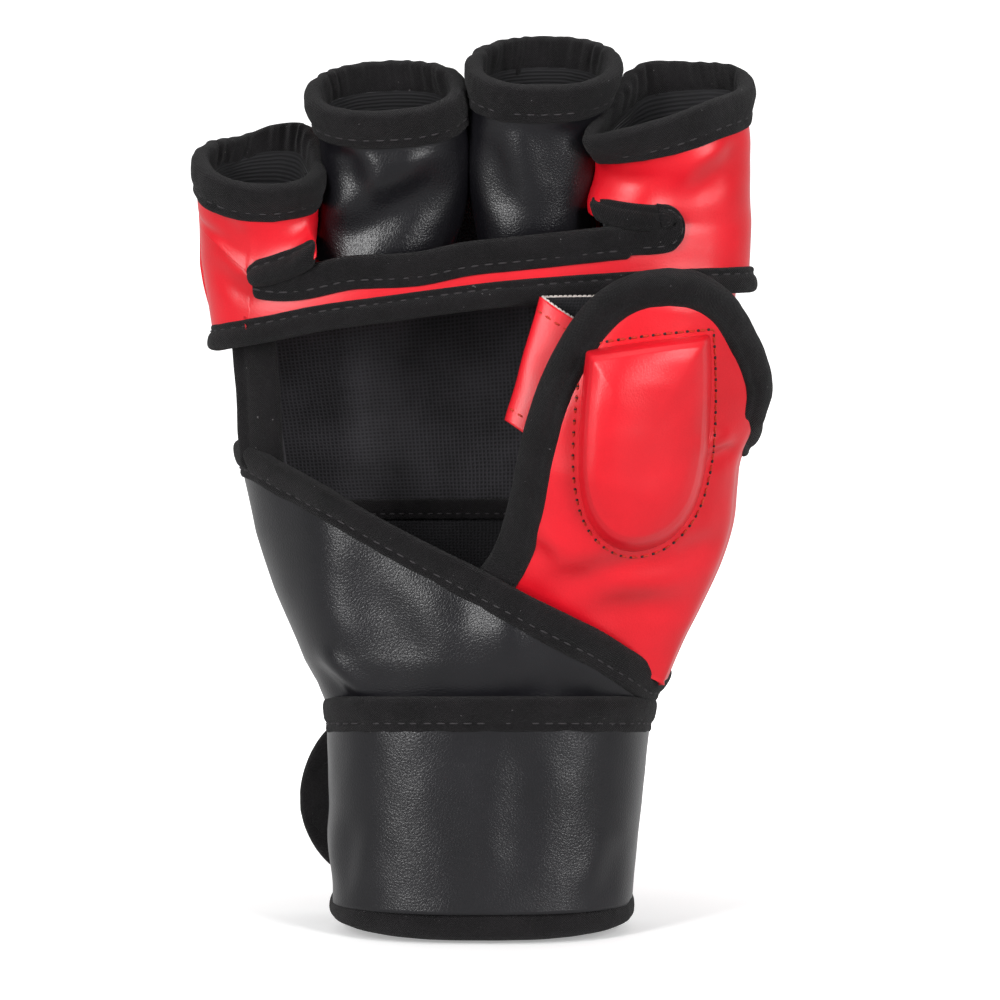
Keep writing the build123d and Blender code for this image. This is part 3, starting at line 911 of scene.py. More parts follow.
# Each sleeve's cross-sections from its rim down to its base.
SLEEVE_LOOPS = {
    "pinky": [smooth(PINKY_RIM, COLS, closed=True), loop((-56.5, -12.5, 184.0), 15.2, 12.8, 28),
              loop((-56.6, -9.5, 175.5), 14.8, 12.0, 18), loop((-57, -8, 168.5), 14.4, 12.6, 6)],
    "ring": [loop((-24.7, -18, 211.8), 18.9, 14.3, 27, 3), loop((-22.6, -14, 199.5), 18.9, 12.8, 22, 2),
             loop((-22.2, -10, 186.5), 18.5, 12.6, 13), loop((-26.0, -6.5, 170.5), 17.6, 13.5, 4)],
    "middle": [loop((14.8, -18.5, 218.0), 18.3, 14.5, 26), loop((12.9, -14.5, 205.0), 17.2, 13.0, 21),
               loop((11.6, -10.5, 191.5), 16.8, 12.8, 12), loop((12.0, -6.5, 175.0), 13.8, 13.5, 4)],
    "index": [smooth(INDEX_RIM, COLS, closed=True), loop((46.4, -15.5, 198.0), 19.6, 13.8, 20, 9),
              loop((46.2, -11, 189.0), 19.8, 13.4, 12, 4), loop((46.2, -8, 181.0), 19.6, 13.6, 4)],
}
SLEEVE_FOLDS = {
    "pinky": [((-70, 186), (-60, 174), 0.9, 2.6), ((-66, 192), (-52, 186), 0.6, 2.5)],
    "ring": [((-40, 172), (-8, 190), 1.7, 5.0), ((-38, 204), (-29, 182), 1.0, 3.5)],
    "middle": [((0, 202), (6, 180), 1.2, 4.5), ((14, 210), (26, 198), 0.8, 4)],
    "index": [((50, 184), (66, 198), 1.2, 3.5), ((60, 206), (64, 188), 0.8, 3.0)],
}
# Heights of each sleeve's crease, where its leather bends on the glove; bend is given them but does not use
# them.
CREASE = {"pinky": (167.0, 183.0), "ring": (168.0, 183.0), "middle": (172.0, 187.0), "index": (178.5, 193.0)}
# Shares of the way round each sleeve between which the padded back lies.
BACK_SHARE = {"pinky": (0.53, 0.97), "ring": (0.55, 0.95), "middle": (0.55, 0.95), "index": (0.53, 0.97)}


def follow(obj, name, *nodes):
    """obj takes the place of these CAD nodes of a finger sleeve; it does not bend at the sleeve's crease."""
    low, high = CREASE[name]
    bend(obj, f"{name}_sleeve", (0, 0, low), (0, 0, high), *nodes)


def build_front(name, P, n):
    """Black palm-side leather of the ring or middle finger."""
    side = list(range(int(-0.06 * COLS), int(0.57 * COLS)))
    front = P[:, side]
    relief = ripple(front, 13, 0.5, 4.0 + len(P)) + ripple(front, 4.5, 0.08, 1.0)
    relief += folds(front, SLEEVE_FOLDS[name])
    relief *= ease((np.arange(len(P)) - 9) / 5.0)[:, None]
    front = front + relief[..., None] * n[:, side]
    skin = piece(f"{name}_front_skin", [front], BLACK, inside=P.mean((0, 1)), thick=1.3)
    follow(skin, name, f"{name}_palm_panel")


def build_pad(name, P, n):
    """Padded back of a finger sleeve, with a foot that reaches down behind the back of the hand."""
    centre = P.mean((0, 1))
    side = [c % COLS for c in range(int(BACK_SHARE[name][0] * COLS), int(BACK_SHARE[name][1] * COLS) + 1)]
    back, end = P[:, side], P[-1, side] - centre
    steps = [end, end * (0.93, 1, 1) - (0, 0, 6), end * (0.78, 0.9, 1) - (0, 0, 14)]
    foot = loft([centre + step for step in steps], 5)
    across, down = np.linspace(0, 1, len(side)), np.linspace(0, 1, len(P))
    arch = np.clip(np.minimum(across, 1 - across) / 0.3, 0, 1)
    hump = np.clip(np.minimum(down - 0.14, 1.0 - down) / 0.16, 0, 1) ** 0.7
    back = back + (6.5 * hump[:, None] * (arch * (2 - arch)))[..., None] * (0, 1.0, 0)
    back = back + (ripple(back, 9, 0.5, 2.0) * arch)[..., None] * n[:, side]
    back = np.vstack([back[3:], foot[1:]])
    pad = piece(f"{name}_back_pad", [back], RED, inside=centre, thick=1.0)
    follow(pad, name, f"{name}_back_panel", f"{name}_foam")


def build_sleeve_lining(name, P, n):
    centre = P.mean((0, 1))
    inner = P - 2.2 * n
    middle = inner[-1].mean(0)
    low_end = (middle + 0.8 * (inner[-1] - middle)) * (1, 1, 0) + (0, 0, line_z(BAND_LOW, centre[0]) + 3.0)
    inner = np.vstack([inner, loft([inner[-1], low_end], 12)[1:]])
    lining = piece(f"{name}_inner_lining", [inner[6:]], RIBBED, inside=centre, thick=0.6,
                   wrap=(True, False))
    follow(lining, name, f"{name}_lining")


def build_rim(name, P, n):
    """Tape round a sleeve's rim, gathered at the back."""
    share = np.arange(COLS)[:, None] / COLS
    around = np.hstack([P[0], unit(P[9] - P[0]), n[0], share])
    around = evenly(np.vstack([around, np.r_[around[0, :9], 1.0]]), RIM_COLS, closed=True)
    rim, into, out, share = around[:, :3], around[:, 3:6], around[:, 6:9], around[:, 9]
    at_back = ease((share - 0.54) / 0.07) * ease((0.985 - share) / 0.06)
    run = np.linspace(0, 100, RIM_COLS)
    wave = np.sin(1.45 * run + 1.8 * np.sin(0.31 * run + len(name)))
    wave += 0.35 * np.sin(2.3 * run + np.sin(0.7 * run))
    tape, line = binding(f"{name}_rim_binding", rim, into, out, width=RIM_WIDTH, puff=0.85, closed=True,
                         gather=at_back * (GATHER * wave - 0.3), seed=len(name) * 3.1, core=2.0)
    follow(tape, name, f"{name}_rim_tape")
    part = slice(int(0.02 * RIM_COLS), int(0.5 * RIM_COLS))
    follow(stitches(f"{name}_rim_stitches", line[part], out[part]), name)


def build_sleeve(name):
    """The parts of a finger sleeve; returns its surface from rim to base and its normals."""
    P = loft(SLEEVE_LOOPS[name], 14)
    n = normals(P, P.mean((0, 1)), closed=True)
    if name in ("ring", "middle"):
        build_front(name, P, n)
    build_pad(name, P, n)
    build_sleeve_lining(name, P, n)
    build_rim(name, P, n)
    return P, n


# ---------------------------------------------------------------- palm band
# Lower and upper edge of the band, in x and z.
BAND_LOW = [(-68, 148.2), (-55, 150.3), (-40, 153.2), (-25, 155.2), (-10, 157.2), (5, 159.0), (25, 160.6),
            (45, 161.8), (60, 162.4), (68, 162.8)]
BAND_TOP = [(-60, 168.6), (-53, 167.2), (-46, 167.4), (-34.5, 169.8), (-24.5, 170.3), (-16, 171.0), (-5, 173.3),
            (7, 174.6), (18.5, 175.8), (29.5, 177.0), (38, 177.8), (46, 178.6)]
BAND_ROWS = 22
BAND_FOLD = ((-69, 170), (-58, 158), 0.8, 3.0)
# The two ends of the slit between the finger sleeves and the palm band, in x and z.
SLIT_LEFT = (-59.0, 167.6)
SLIT_RIGHT = (47.6, 179.3)
# How far the little finger's leather lies over the band, and how steeply the fold rises to the side.
FOLD_OVER = 0.7
FOLD_RISE = 0.95
# The little finger's lower edge, from the fold at the side to the ring finger.
LIP_LOW = [(-59.6, 166.4), (-57.2, 164.4), (-53.5, 165.2), (-50.0, 166.4), (-46.3, 168.0), (-43.5, 169.8),
           (-41.9, 170.6)]
# A lip's tape: its distance off the leather, how far it sinks at its end and is tucked in at its
# start, and the share of its width that it loses where it turns round the end of the slit.
LIP_OFF, LIP_SINK, LIP_TUCK, LIP_TURN = 0.3, 1.6, 1.5, 0.3


def line_z(points, x):
    """Height at x of the smooth line through points in x and z."""
    dense = through(points, 12)
    return float(np.interp(x, dense[:, 0], dense[:, 1]))


def fold_z(x):
    """Height of the fold between the little finger's leather and the palm band."""
    return SLIT_LEFT[1] + FOLD_RISE * max(0.0, SLIT_LEFT[0] - x)


def band_at_angle(angle, z, grow=0.0):
    return np.array([*oval(table(BAND, z), angle, grow, BAND_POWER), z])


def band_at_x(x, z, grow=0.0):
    """Point on the palm side of the band."""
    left, right, back, front = table(BAND, z)
    a, b = (right - left) / 2 + grow, (back - front) / 2 + grow
    share = min(abs(x - (left + right) / 2) / a, 0.999)
    return np.array([x, (back + front) / 2 - b * (1 - share**BAND_POWER) ** (1 / BAND_POWER), z])


def angle_at(x, z):
    """Angle on the palm side of the band's section where it passes a given x."""
    left, right, back, front = table(BAND, z)
    share = (x - (left + right) / 2) / ((right - left) / 2)
    c = math.copysign(abs(share) ** (BAND_POWER / 2), share)
    return -math.degrees(math.acos(max(-1, min(1, c))))


def pull_down(upper, lip, rows):
    """Draws the lower rows of a sleeve's panel down onto a given lower edge."""
    count = len(upper)
    w = ease((np.arange(count) - (count - 1 - rows)) / rows)[:, None, None]
    return upper * (1 - w) + (upper - upper[-1] + lip) * w


def blend_rows(above, below):
    """Two grids that share a row, joined there without a crease; their first column stays."""
    P = np.concatenate([above, below[1:]], axis=0)
    near = np.exp(-(((np.arange(len(P)) - (len(above) - 1)) / 9.0) ** 4))[:, None]
    w = near * ease(np.arange(P.shape[1]) / 9.0)[None, :]
    return P + (blurred(P, 60) - P) * w[..., None]


def calm(count, top, low):
    """Share of the wrinkles left in each row: none at the two edges."""
    rows = np.arange(count)
    return (ease((rows - 0.7 * top) / (0.6 * top)) * np.clip((count - 1 - rows) / low, 0, 1))[:, None]


def lip_binding(finger, surface, path, width, seed, turns):
    """Tape along a sleeve's lip. It turns round the end of the slit, or else ends in the fold beside it."""
    path = smooth(path, 80)
    path[:, 1] = -28
    along = unit(np.gradient(path * (1, 0, 1), axis=0))
    into = np.cross(along, (0, -1.0, 0))
    turn = int(np.argmax(path[:, 0])) if turns else len(path) - 1
    into = into * np.sign(into[turn, 0] if turns else into[turn, 2])
    upright = ease(1 - np.arange(len(path)) / (0.7 * turn))[:, None]
    into = soften(unit(into * (1 - upright) + np.array([0, 0, 1.0]) * upright), 2)
    path, into, bulge = lie_on(surface, path, into, width)
    from_start, from_turn = np.arange(len(path)), np.arange(len(path)) - turn
    narrow = 1 - LIP_TURN * np.exp(-((from_turn / 9.0) ** 2))
    path[:, 1] = soften(path, 3)[:, 1] - LIP_OFF + LIP_TUCK * np.exp(-((from_start / 6.0) ** 2))
    if not turns:
        path[:, 1] += LIP_SINK * np.exp(-((from_turn / 7.0) ** 2))
    out = np.cross(into, unit(np.gradient(path, axis=0)))
    out = soften(unit(out * np.sign(-out[:, 1:2])), 4)
    tape, line = binding(f"{finger}_lip_binding", path, into * narrow[:, None], out, width=width, seed=seed,
                         free=True, bulge=bulge)
    follow(tape, finger)
    follow(stitches(f"{finger}_lip_stitches", line[4:-6], out[4:-6]), finger)


def build_pinky_cover(P, n):
    """Red leather of the little finger, which folds into the palm band beside the slit."""
    cols = list(range(-6, int(0.56 * COLS)))
    upper = P[:, cols].copy()
    lip = upper[-1].copy()
    tip_x, tip_z = SLIT_LEFT
    last = max(k for k in range(len(cols)) if lip[k][0] < tip_x or k < 12)
    for k, angle in enumerate(np.linspace(-188, angle_at(tip_x, tip_z), last + 1)):
        over = FOLD_OVER * ease((angle + 184) / 26)
        x = band_at_angle(angle, tip_z, over)[0]
        lip[k] = band_at_angle(angle, fold_z(x) - 1.4 * over, over)
    ahead = [band_at_x(x, z, 1.2 + 0.12 * (x - tip_x)) for x, z in LIP_LOW]
    behind_ring = [(-42.4, -20, 172.3), (-42.0, -15, 174.8), (-41.6, -8, 177.5)]
    lip[last:] = smooth([lip[last], *ahead, *behind_ring], len(cols) - last)
    upper = pull_down(upper, lip, 34)
    relief = (folds(upper, SLEEVE_FOLDS["pinky"]) + ripple(upper, 10, 0.45, 3.0)) * calm(len(upper), 10.0, 4.0)
    upper = upper + relief[..., None] * n[:, cols]
    cover = piece("pinky_front_skin", [upper], RED, inside=(-57, -8, 182), thick=1.3)
    follow(cover, "pinky", "pinky_palm_panel")
    path = [(x, 0, z - 0.4) for x, z in LIP_LOW[:0:-1]] + [(-58.4, 0, 163.6)]
    lip_binding("pinky", tree(upper), path, 6.2, 12.0, turns=False)


def band_grid(angles, xs, tops, stay):
    """Rows of the band at these angles, from the tops down; where stay is 1 a column keeps its x instead."""
    rows = []
    for share in np.linspace(0, 1, BAND_ROWS):
        row = []
        for angle, x, top, held, kept_x in zip(angles, xs, tops, stay[0], stay[1]):
            z = top + (line_z(BAND_LOW, x) - top) * share
            row.append(band_at_angle(angle, z) * (1 - held) + band_at_x(kept_x, z) * held)
        rows.append(row)
    return np.array(rows)


def build_band_and_index(P, n):
    """Red leather of the palm band, which runs up the thumb side into the front of the index sleeve."""
    cols = list(range(-4, int(0.56 * COLS)))
    upper = P[:, cols].copy()
    lip = upper[-1].copy()
    tip_x, tip_z = SLIT_RIGHT
    first = next(k for k in range(len(cols)) if lip[k][0] > tip_x and cols[k] > 0.22 * COLS)
    angles = np.linspace(angle_at(tip_x, tip_z), 6, len(cols) - first)
    lip[first:] = [band_at_angle(a, tip_z) for a in angles]
    behind_middle = [upper[-1][0] + (0, 0, 3), (25.6, -19, 182.0), (28.6, -24, 180.0), (34, -26.6, 178.5)]
    lip[: first + 1] = smooth([*behind_middle, (40, -27.4, 178.0), lip[first]], first + 1)
    upper = pull_down(upper, lip, 26)
    stay = 1 - ease(np.arange(len(angles)) / 8.0)
    right = band_grid(angles, np.minimum(lip[first:, 0], 66), 0 * angles + tip_z, (stay, 0 * angles + tip_x))
    joined = blend_rows(upper[:, first:], right)
    upper[:, first:], right = joined[: len(upper)], joined[len(upper) - 1 :]
    relief = ripple(upper, 12, 0.6, 6.0) + folds(upper, SLEEVE_FOLDS["index"])
    upper = upper + (relief * calm(len(upper), 11.0, 5.0))[..., None] * n[:, cols]

    xs = np.linspace(SLIT_LEFT[0], tip_x, 120)
    tops = np.array([line_z(BAND_TOP, x) for x in xs])
    tops[0], tops[-1] = SLIT_LEFT[1], tip_z
    centre = band_grid(0 * xs, xs, tops, (0 * xs + 1, xs))
    angles = np.linspace(-188, angle_at(xs[0], tops[0]), 40)
    side_xs = np.array([band_at_angle(a, SLIT_LEFT[1])[0] for a in angles])
    stay = ease((np.arange(len(angles)) - 31) / 8.0)
    left = band_grid(angles, side_xs, [fold_z(x) for x in side_xs], (stay, 0 * angles + xs[0]))
    whole = np.hstack([left[:, :-1], centre, right[:, 1:]])
    down, along = np.arange(BAND_ROWS), np.arange(whole.shape[1])
    dents = (ripple(whole, 14, 0.5, 2.0) + fold(whole, *BAND_FOLD)) * np.clip(along / 12.0, 0, 1)
    dents = dents * (ease(down / 4.0) * ease((BAND_ROWS - 8 - down) / 6.0))[:, None]
    whole = whole + dents[..., None] * normals(whole, (0, 10, 165))
    cover = piece("index_front_skin", [upper, whole], RED, inside=(20, 10, 172), thick=1.3)
    follow(cover, "index", "index_palm_panel", "palm_band", "palm_band_lining")

    tip = lip[first]
    path = [(26.2, 0, 181.4), (30, 0, 179.6), (34.5, 0, 178.5), (40, 0, 178.0), (44, 0, 178.2),
            tip + (-0.6, 0, 0.3), tip + (-0.6, 0, -0.9), (43, 0, 177.3), (37, 0, 177.0), (32, 0, 176.6)]
    lip_binding("index", tree(upper, whole), path, 5.9, 15.0, turns=True)


def band_tape(name, path, out, up, **shape):
    """Tape along an edge of the band; up is 1 where the leather lies above the edge, or else -1."""
    into = unit(np.cross(unit(np.gradient(path, axis=0)), out))
    into *= up * np.sign(into[:, 2:3])
    tape, line = binding(f"{name}_binding", path, into, out, **shape)
    ride(tape, "hand", f"{name}_tape")
    ride(stitches(f"{name}_stitches", line, out), "hand")


def sideways(along):
    """Level directions off the palm, square to the directions along."""
    return unit(np.stack([along[:, 1], -along[:, 0], 0 * along[:, 0]], 1))


def build_band_tapes():
    """Tape along the slit above the palm band and along the band's lower edge."""
    xs = np.linspace(-57.2, 36.5, 130)
    tops = [line_z(BAND_TOP, x) for x in xs]
    path, beside = (np.array([band_at_x(x + step, z, -0.3) for x, z in zip(xs, tops)]) for step in (0, 0.5))
    band_tape("band_top", path, sideways(beside - path), -1, width=7.4, puff=1.15, seed=21.0)
    angles = np.linspace(-190, 8, 170)
    xs = [oval(table(BAND, 155), a, 0, BAND_POWER)[0] for a in angles]
    path = np.array([band_at_angle(a, line_z(BAND_LOW, x), -0.1) for a, x in zip(angles, xs)])
    band_tape("band_lower", path, sideways(np.gradient(path, axis=0)), 1, width=5.7, puff=1.2, seed=24.0)


# ---------------------------------------------------------------- thumb
THUMB_ROWS, THUMB_COLS = 96, 72
THUMB_LEFT = [(-2.5, -24.5, 89.0), (3.5, -28.0, 98.0), (7.3, -33.5, 110.5), (10.3, -37.5, 125.0),
              (13.8, -39.3, 137.0), (18.6, -40.3, 147.5), (24.0, -41.3, 156.0), (31.0, -42.3, 162.5),
              (38.5, -43.0, 165.8), (45.0, -43.2, 166.8)]
THUMB_RIGHT = [(45.0, -12.0, 64.5), (49.0, -13.0, 74.0), (53.2, -14.5, 82.5), (58.2, -16.0, 93.5),
               (61.3, -17.5, 103.5), (62.3, -18.5, 113.0), (63.3, -19.5, 120.0), (67.2, -20.5, 128.5),
               (70.2, -22.5, 136.0), (69.6, -26.5, 144.0), (65.2, -32.0, 154.0), (60.8, -36.5, 160.5),
               (53.5, -41.0, 165.6), (46.5, -43.0, 166.8)]
# How far the shield bulges, by its share of the way up, and how sharply near its left, right and tip.
THUMB_BULGE = [(0, 4.5), (0.15, 9.0), (0.35, 12.5), (0.6, 11.5), (0.8, 8.5), (0.93, 4.0), (1.0, 0.0)]
THUMB_LEFT_POWER, THUMB_RIGHT_POWER, THUMB_TIP_POWER = 1.7, 0.8, 1.5
THUMB_FOLDS = [((16, 88), (50, 96), 1.6, 4.2), ((24, 82), (52, 84), 1.3, 4.0), ((54, 119), (64, 123), 1.5, 2.2),
               ((48, 96), (60, 100), 1.1, 3.2), ((8, 100), (18, 94), 0.8, 2.6)]
# Share of the shield's height over which its right side is sewn to the back of the hand.
WRAP_END = 0.56
THUMB_INSIDE = (40, 10, 120)
THUMB_HEART = np.array([40.0, -42.0, 120.0])
THUMB_TAPE = 8.8
# Two points along this direction from the flap, a little way and further on, handed to bend, which does not use
# them.
SWING_FROM, SWING_ALONG = np.array([0.0, -26.0, 89.0]), np.array([0.93, -2.0, 1.0])
SWING_START, SWING_END = 2.0, 76.0


def swing(obj, *nodes):
    """The shield's piece takes the place of these CAD nodes and stays fixed, sewn to the palm flap and the back
    of the hand; it does not swing with the thumb.
    """
    step = SWING_ALONG / np.dot(SWING_ALONG, SWING_ALONG)
    bend(obj, "thumb", SWING_FROM + SWING_START * step, SWING_FROM + SWING_END * step, *nodes)


def thumb_surface():
    left, right = smooth(THUMB_LEFT, THUMB_ROWS), smooth(THUMB_RIGHT, THUMB_ROWS)
    share, height = np.linspace(0, 1, THUMB_COLS), np.linspace(0, 1, THUMB_ROWS)
    across = ((1 - np.cos(math.pi * share)) / 2)[None, :, None]
    P = left[:, None] * (1 - across) + right[:, None] * across
    depth = np.interp(height, *zip(*THUMB_BULGE))
    right_power = THUMB_RIGHT_POWER + (THUMB_TIP_POWER - THUMB_RIGHT_POWER) * ease((height - 0.5) / 0.15)
    power = THUMB_LEFT_POWER + (right_power[:, None] - THUMB_LEFT_POWER) * ease(share)
    P[..., 1] -= depth[:, None] * np.sin(math.pi * share) ** power
    n = normals(P, THUMB_INSIDE)
    relief = ripple(P, 16, 0.7, 11.0) + ripple(P, 6, 0.12, 3.0) + folds(P, THUMB_FOLDS)
    from_low, from_left = np.arange(THUMB_ROWS), np.arange(THUMB_COLS)
    from_top, from_right = from_low[::-1], from_left[::-1]
    rows = ease((from_top - 9) / 9.0) * ease(from_low / 6.0)
    cols = ease((from_left - 13) / 8.0) * np.clip(from_right / 8.0, 0, 1)
    return P + (relief * rows[:, None] * cols)[..., None] * n


def side_wrap(P, rows):
    """The leather that runs from the shield's right side round to the back of the hand."""
    wrap = []
    for edge in P[:rows, -1]:
        back = np.array([min(edge[0] - 1.5, table(HAND, edge[2])[1] + 1.0), 6.0, edge[2] + 2.0])
        middle = np.array([edge[0] + 0.8, (edge[1] + back[1]) / 2 - 2, edge[2] + 1.0])
        wrap.append(evenly(through([edge, middle, back], 10), 26))
    return np.array(wrap)


def build_thumb():
    """The padded shield over the thumb, with the leather that joins it to the hand."""
    P = thumb_surface()
    n = normals(P, THUMB_INSIDE)
    wrap = side_wrap(P, int(THUMB_ROWS * WRAP_END))
    wrap_n = normals(wrap, THUMB_INSIDE)
    drop = (1 - 0.93 * ease((P[0, :, 0] - 16) / 16))[:, None]
    below = loft([P[0] + drop * (0, 3.0, -15.0), P[0] + drop * (0, 1.0, -6.0), P[0]], 6)[:-1]
    shield = piece("thumb_shield_skin", [np.vstack([below, P]), wrap], RED, inside=THUMB_INSIDE,
                   thick=1.5)
    swing(shield, "thumb_shield", "thumb_lining", "thumb_gusset")
    inner = (P - 2.3 * n)[4:-2, 2:-2]
    swing(piece("thumb_inner_lining", [inner], MESH, inside=THUMB_INSIDE, thick=0.6))
    surface = tree(P)
    build_thumb_tape(P, wrap, wrap_n, surface)
    seam, out = wrap[:-6, -4], wrap_n[:-6, -4]
    swing(stitches("thumb_side_stitches", seam + 0.1 * out, out, RED_THREAD))
    build_thumb_pad(surface)
    build_keeper_loop()


def build_thumb_tape(P, wrap, wrap_n, surface):
    """Tape up the shield's left side, over its tip, down its right side and round the side of the hand."""
    edge = evenly(np.vstack([P[:, 0], P[-1, 1:-1], P[len(wrap) - 1 :, -1][::-1]]), 190)
    along = unit(soften(unit(np.gradient(edge, axis=0)), 3) * (1, 0, 1))
    into = np.cross(along, (0, 1.0, 0))
    into = into * np.sign(np.sum(into[60] * (THUMB_HEART - edge[60])))
    laid, into, bulge = lie_on(surface, edge, into, THUMB_TAPE)
    laid[:, 1] = soften(edge, 2)[:, 1]
    out = np.cross(into, unit(np.gradient(laid, axis=0)))
    out = soften(unit(out * np.sign(-out[60, 1])), 3)
    side, side_n = wrap[-1][2:], wrap_n[-1][2:]
    over_shield = np.hstack([laid, into, out, bulge[:, None]])[:-2]
    over_side = np.hstack([side, unit(wrap[-9][2:] - side), side_n, 0 * side[:, :1]])
    both = soften_near(np.vstack([over_shield, over_side]), len(over_shield), 7)
    laid, into, out, bulge = both[:, :3], unit(both[:, 3:6]), unit(both[:, 6:9]), both[:, 9]
    laid = laid - 0.3 * out
    tape, line = binding("thumb_edge_binding", laid, into, out, width=THUMB_TAPE, puff=1.3, seed=31.0, core=1.6,
                         bulge=bulge)
    swing(tape, "thumb_edge_tape")
    swing(stitches("thumb_edge_stitches", line, out))


# Outline of the padded panel, which is sharp at the first and the fourth point and round elsewhere.
PAD_OUTLINE = [(25.0, 147.5), (33, 148.7), (45, 150.3), (56.3, 151.6), (56.6, 143), (56.4, 132), (55.2, 118),
               (52.0, 107), (45.5, 99.5), (37.0, 96.9), (30.0, 99.5), (25.3, 106), (23.3, 116), (23.6, 130)]
PAD_CORNER = 3
PAD_MIDDLE = np.array([40.2, 126.0])
# Height of the panel by share of the way from its middle to its outline.
PAD_PROFILE = [(1.0, -0.6), (0.985, 1.8), (0.965, 3.8), (0.93, 5.7), (0.87, 7.1), (0.75, 8.0), (0.5, 8.6),
               (0.25, 8.8), (0.0, 8.9)]
PAD_STITCH = 2.9


def pad_curve(count, grow=0.0):
    top = through(PAD_OUTLINE[: PAD_CORNER + 1], 10)[:-1]
    rest = through(PAD_OUTLINE[PAD_CORNER:] + PAD_OUTLINE[:1], 10)
    curve = np.vstack([top, rest])
    return evenly(curve + grow * unit(curve - (40.0, 125.0)), count, closed=True)


def build_thumb_pad(surface):
    """The raised padded panel on the shield, and the stitches round it."""
    shares, heights = zip(*PAD_PROFILE)
    rows = []
    for share in np.r_[np.linspace(1.0, 0.86, 12), np.linspace(0.82, 0.04, 14)]:
        lift = np.interp(share, shares[::-1], heights[::-1])
        ring = PAD_MIDDLE + (pad_curve(120) - PAD_MIDDLE) * share
        rows.append([drape(surface, x, z, lift) for x, z in ring])
    P = np.array(rows)
    P[..., 1] += ripple(P, 14, 0.35, 7.0)
    pad = piece("thumb_pad_skin", [P], RED, inside=(40, 0, 125), levels=1, wrap=(True, False))
    mend(pad.data, fill=True)
    swing(pad, "thumb_pad_cover", "thumb_pad_foam")
    line = pad_curve(160, 1.3)
    line = np.array([drape(surface, x, z, 0.1) for x, z in np.vstack([line, line[:1]])])
    out = np.tile([0, -1.0, 0], (len(line), 1))
    sewn = stitches("thumb_pad_stitches_red", line, out, RED_THREAD, pitch=PAD_STITCH, length=1.9, radius=0.3)
    swing(sewn, "thumb_pad_stitches")
    # Painted shade: short dark marks stand for the shade in the needle holes between the red stitches.
    swing(stitches("thumb_pad_stitch_hole_shade", line[2:], out[2:], BLACK_THREAD_AND_HOLE_SHADE, pitch=PAD_STITCH, length=0.9,
                   radius=0.33))


LOOP_TOP, LOOP_LOW = np.array([13.6, 160.8]), np.array([4.9, 130.0])
LOOP_HALF_WIDTH, LOOP_HALF_DEPTH, LOOP_Y = 20.0, 4.2, -33.2
LOOP_SKEW = 0.75


def keeper_point(corner, angle):
    """Point of the keeper loop, round from its left corner; its front slants down towards the thumb side."""
    c, s = math.cos(angle), math.sin(angle)
    right = LOOP_HALF_WIDTH * (1 - math.copysign(abs(c) ** 0.9, c))
    y = LOOP_Y - LOOP_HALF_DEPTH * math.copysign(abs(s) ** 0.6, s) - 0.04 * right
    skew = LOOP_SKEW * 0.5 * (1 + math.tanh(2.5 * s))
    return [corner[0] + right, y, corner[1] - skew * right * (1 - 0.4 * min(1, right / 30))]


def build_keeper_loop():
    """A flattened ring of leather behind the shield that the thumb passes through."""
    turn = np.linspace(0, 2 * math.pi, 90, endpoint=False)
    P = np.array([[keeper_point(LOOP_TOP * (1 - share) + LOOP_LOW * share, t) for t in turn]
                  for share in np.linspace(0, 1, 30)])
    centre = P.mean((0, 1))
    n = normals(P, centre, closed=True)
    P = P + ripple(P, 8, 0.3, 5.0)[..., None] * n
    ride(piece("thumb_keeper_loop", [P], RED, inside=centre, thick=0.9, wrap=(True, False)),
         "thumb", "thumb_loop")
    # The lining's darker mesh is partly painted shade inside the loop.
    ride(piece("thumb_keeper_lining", [P - 1.0 * n], MESH_DENSE_SHADED, inside=centre, thick=0.5,
               wrap=(True, False)), "thumb", "thumb_loop_lining")
    rim = np.vstack([P[0], P[0][:1]]) - 0.9 * np.vstack([n[0], n[0][:1]])
    up = np.tile([0, 0, 1.0], (len(rim), 1))
    ride(stitches("thumb_keeper_raw_edge", rim + (0, 0, 0.15), up, CANVAS, pitch=1.2, length=1.5, radius=0.42),
         "thumb")
    for name, row in (("top", 3), ("low", 26)):
        line, out = P[row, 2:44], n[row, 2:44]
        ride(stitches(f"thumb_keeper_stitches_{name}", line + 0.1 * out, out, RED_THREAD, pitch=2.7, length=1.7,
                      radius=0.26), "thumb")


# ---------------------------------------------------------------- stage, lights and camera
FLOOR_HALF = 4000
FLOOR_Z = -0.4
FLOOR_BOUNCE = (0.22, 0.22, 0.22, 1)
WHITE = (1, 1, 1, 1)
LIGHT_TARGET = (0, 0, 0.11)


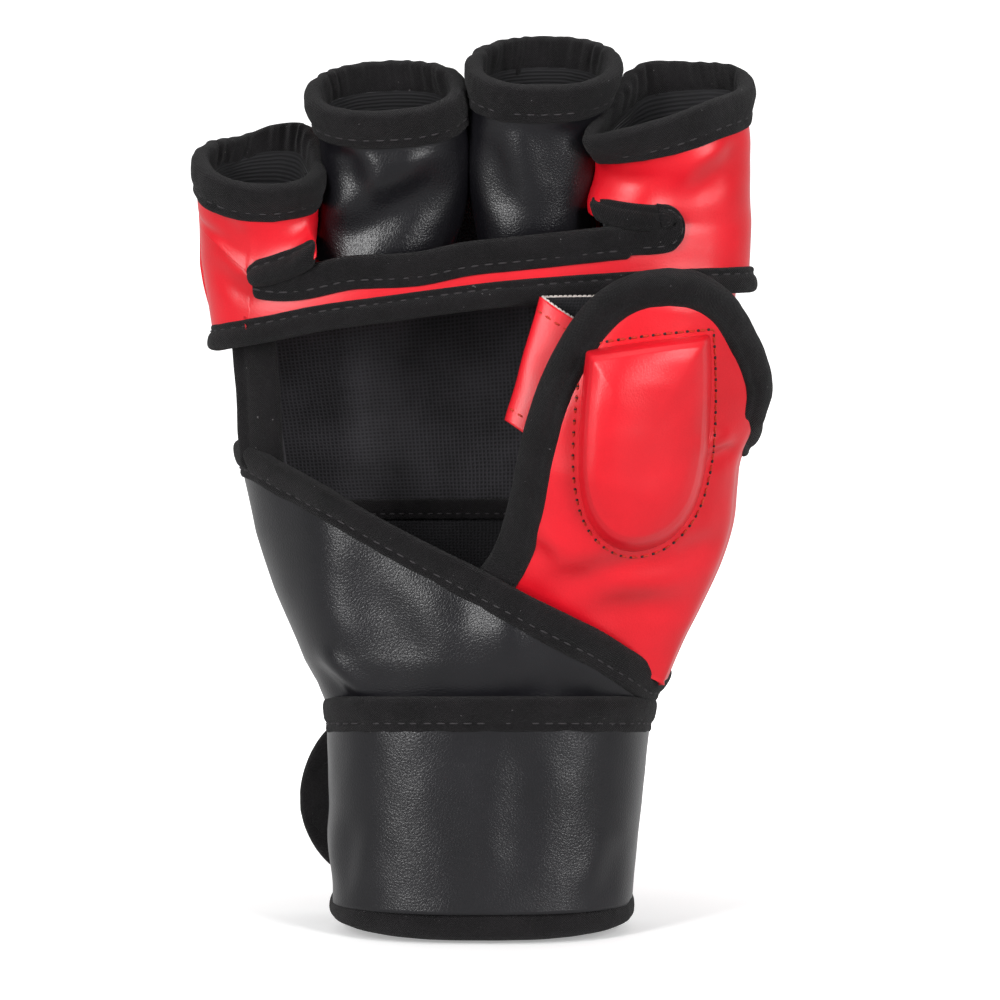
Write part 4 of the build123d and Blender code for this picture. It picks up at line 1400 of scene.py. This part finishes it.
def floor_material():
    """Matte, and plain white far from the glove; it gives the glove a little light from behind."""
    n = Nodes("studio_floor")
    seen = n.is_camera_ray()
    pale = n.ramp(n.noise(n.coords(), 400, 2), (0.93, 0.93, 0.93), (0.96, 0.96, 0.96))
    glow = n.span(n.axes(n.coords())["Y"], 0.0, 0.6, -0.35, 0.15)
    away = n.add("ShaderNodeVectorMath", {0: n.coords()}, operation="LENGTH").outputs["Value"]
    shine = n.mix_numbers(seen, glow, n.span(away, 0.3, 1.0, 0.05, 0.35))
    n.set(Base_Color=n.mix_colours(seen, FLOOR_BOUNCE, pale), Roughness=0.9)
    n.set(Emission_Color=WHITE, Emission_Strength=shine)
    return n.material


def build_stage():
    """A plain pale floor, wide enough to be the ground in every view."""
    ticks = np.linspace(-FLOOR_HALF, FLOOR_HALF, 24)
    P = np.array([[[x, y, FLOOR_Z] for x in ticks] for y in ticks])
    piece("studio_floor", [P], floor_material(), inside=(0, 0, -3000), levels=0, seated=False)


def face(obj, location, target):
    obj.location = location
    obj.rotation_euler = (Vector(target) - Vector(location)).to_track_quat("-Z", "Y").to_euler()


def area(name, location, size, power):
    light = bpy.data.lights.new(name, "AREA")
    light.shape, light.energy = "RECTANGLE", power
    light.size, light.size_y = size
    face(place(name, light), location, LIGHT_TARGET)


def build_light():
    """Plain white behind the glove for the camera, soft light from the back, two tall lamps and one above."""
    world = bpy.data.worlds.new("studio")
    bpy.context.scene.world = world
    n = Nodes("studio", world)
    around = n.span(n.axes(n.coords("Generated"))["Y"], 0.03, 0.8, -0.4, 0.5)
    n.set(Color=WHITE, Strength=n.mix_numbers(n.is_camera_ray(), around, 1.3))
    area("soft_left", (-0.66, -0.92, 0.40), (0.22, 0.9), 12.0)
    area("soft_right", (0.66, -0.92, 0.34), (0.22, 0.9), 11.2)
    area("soft_top", (0.0, -0.25, 1.1), (0.9, 0.5), 2.2)


def build_camera():
    camera = bpy.data.cameras.new("camera")
    camera.sensor_width = 36
    camera.lens = camera.sensor_width * VIEW_DISTANCE / VIEW_WIDTH
    obj = place("camera", camera)
    tilt = math.radians(VIEW_TILT)
    centre = Vector(VIEW_CENTRE)
    face(obj, centre + Vector((0, -math.cos(tilt), math.sin(tilt))) * VIEW_DISTANCE, centre)
    bpy.context.scene.camera = obj


# ---------------------------------------------------------------- build everything
build_strap()
build_cuff()
build_lining()
build_back()
build_flap()
build_sleeve("ring")
build_sleeve("middle")
build_pinky_cover(*build_sleeve("pinky"))
build_band_and_index(*build_sleeve("index"))
build_band_tapes()
build_thumb()
build_stage()
build_light()
build_camera()
bpy.context.scene.view_settings.view_transform = "Standard"
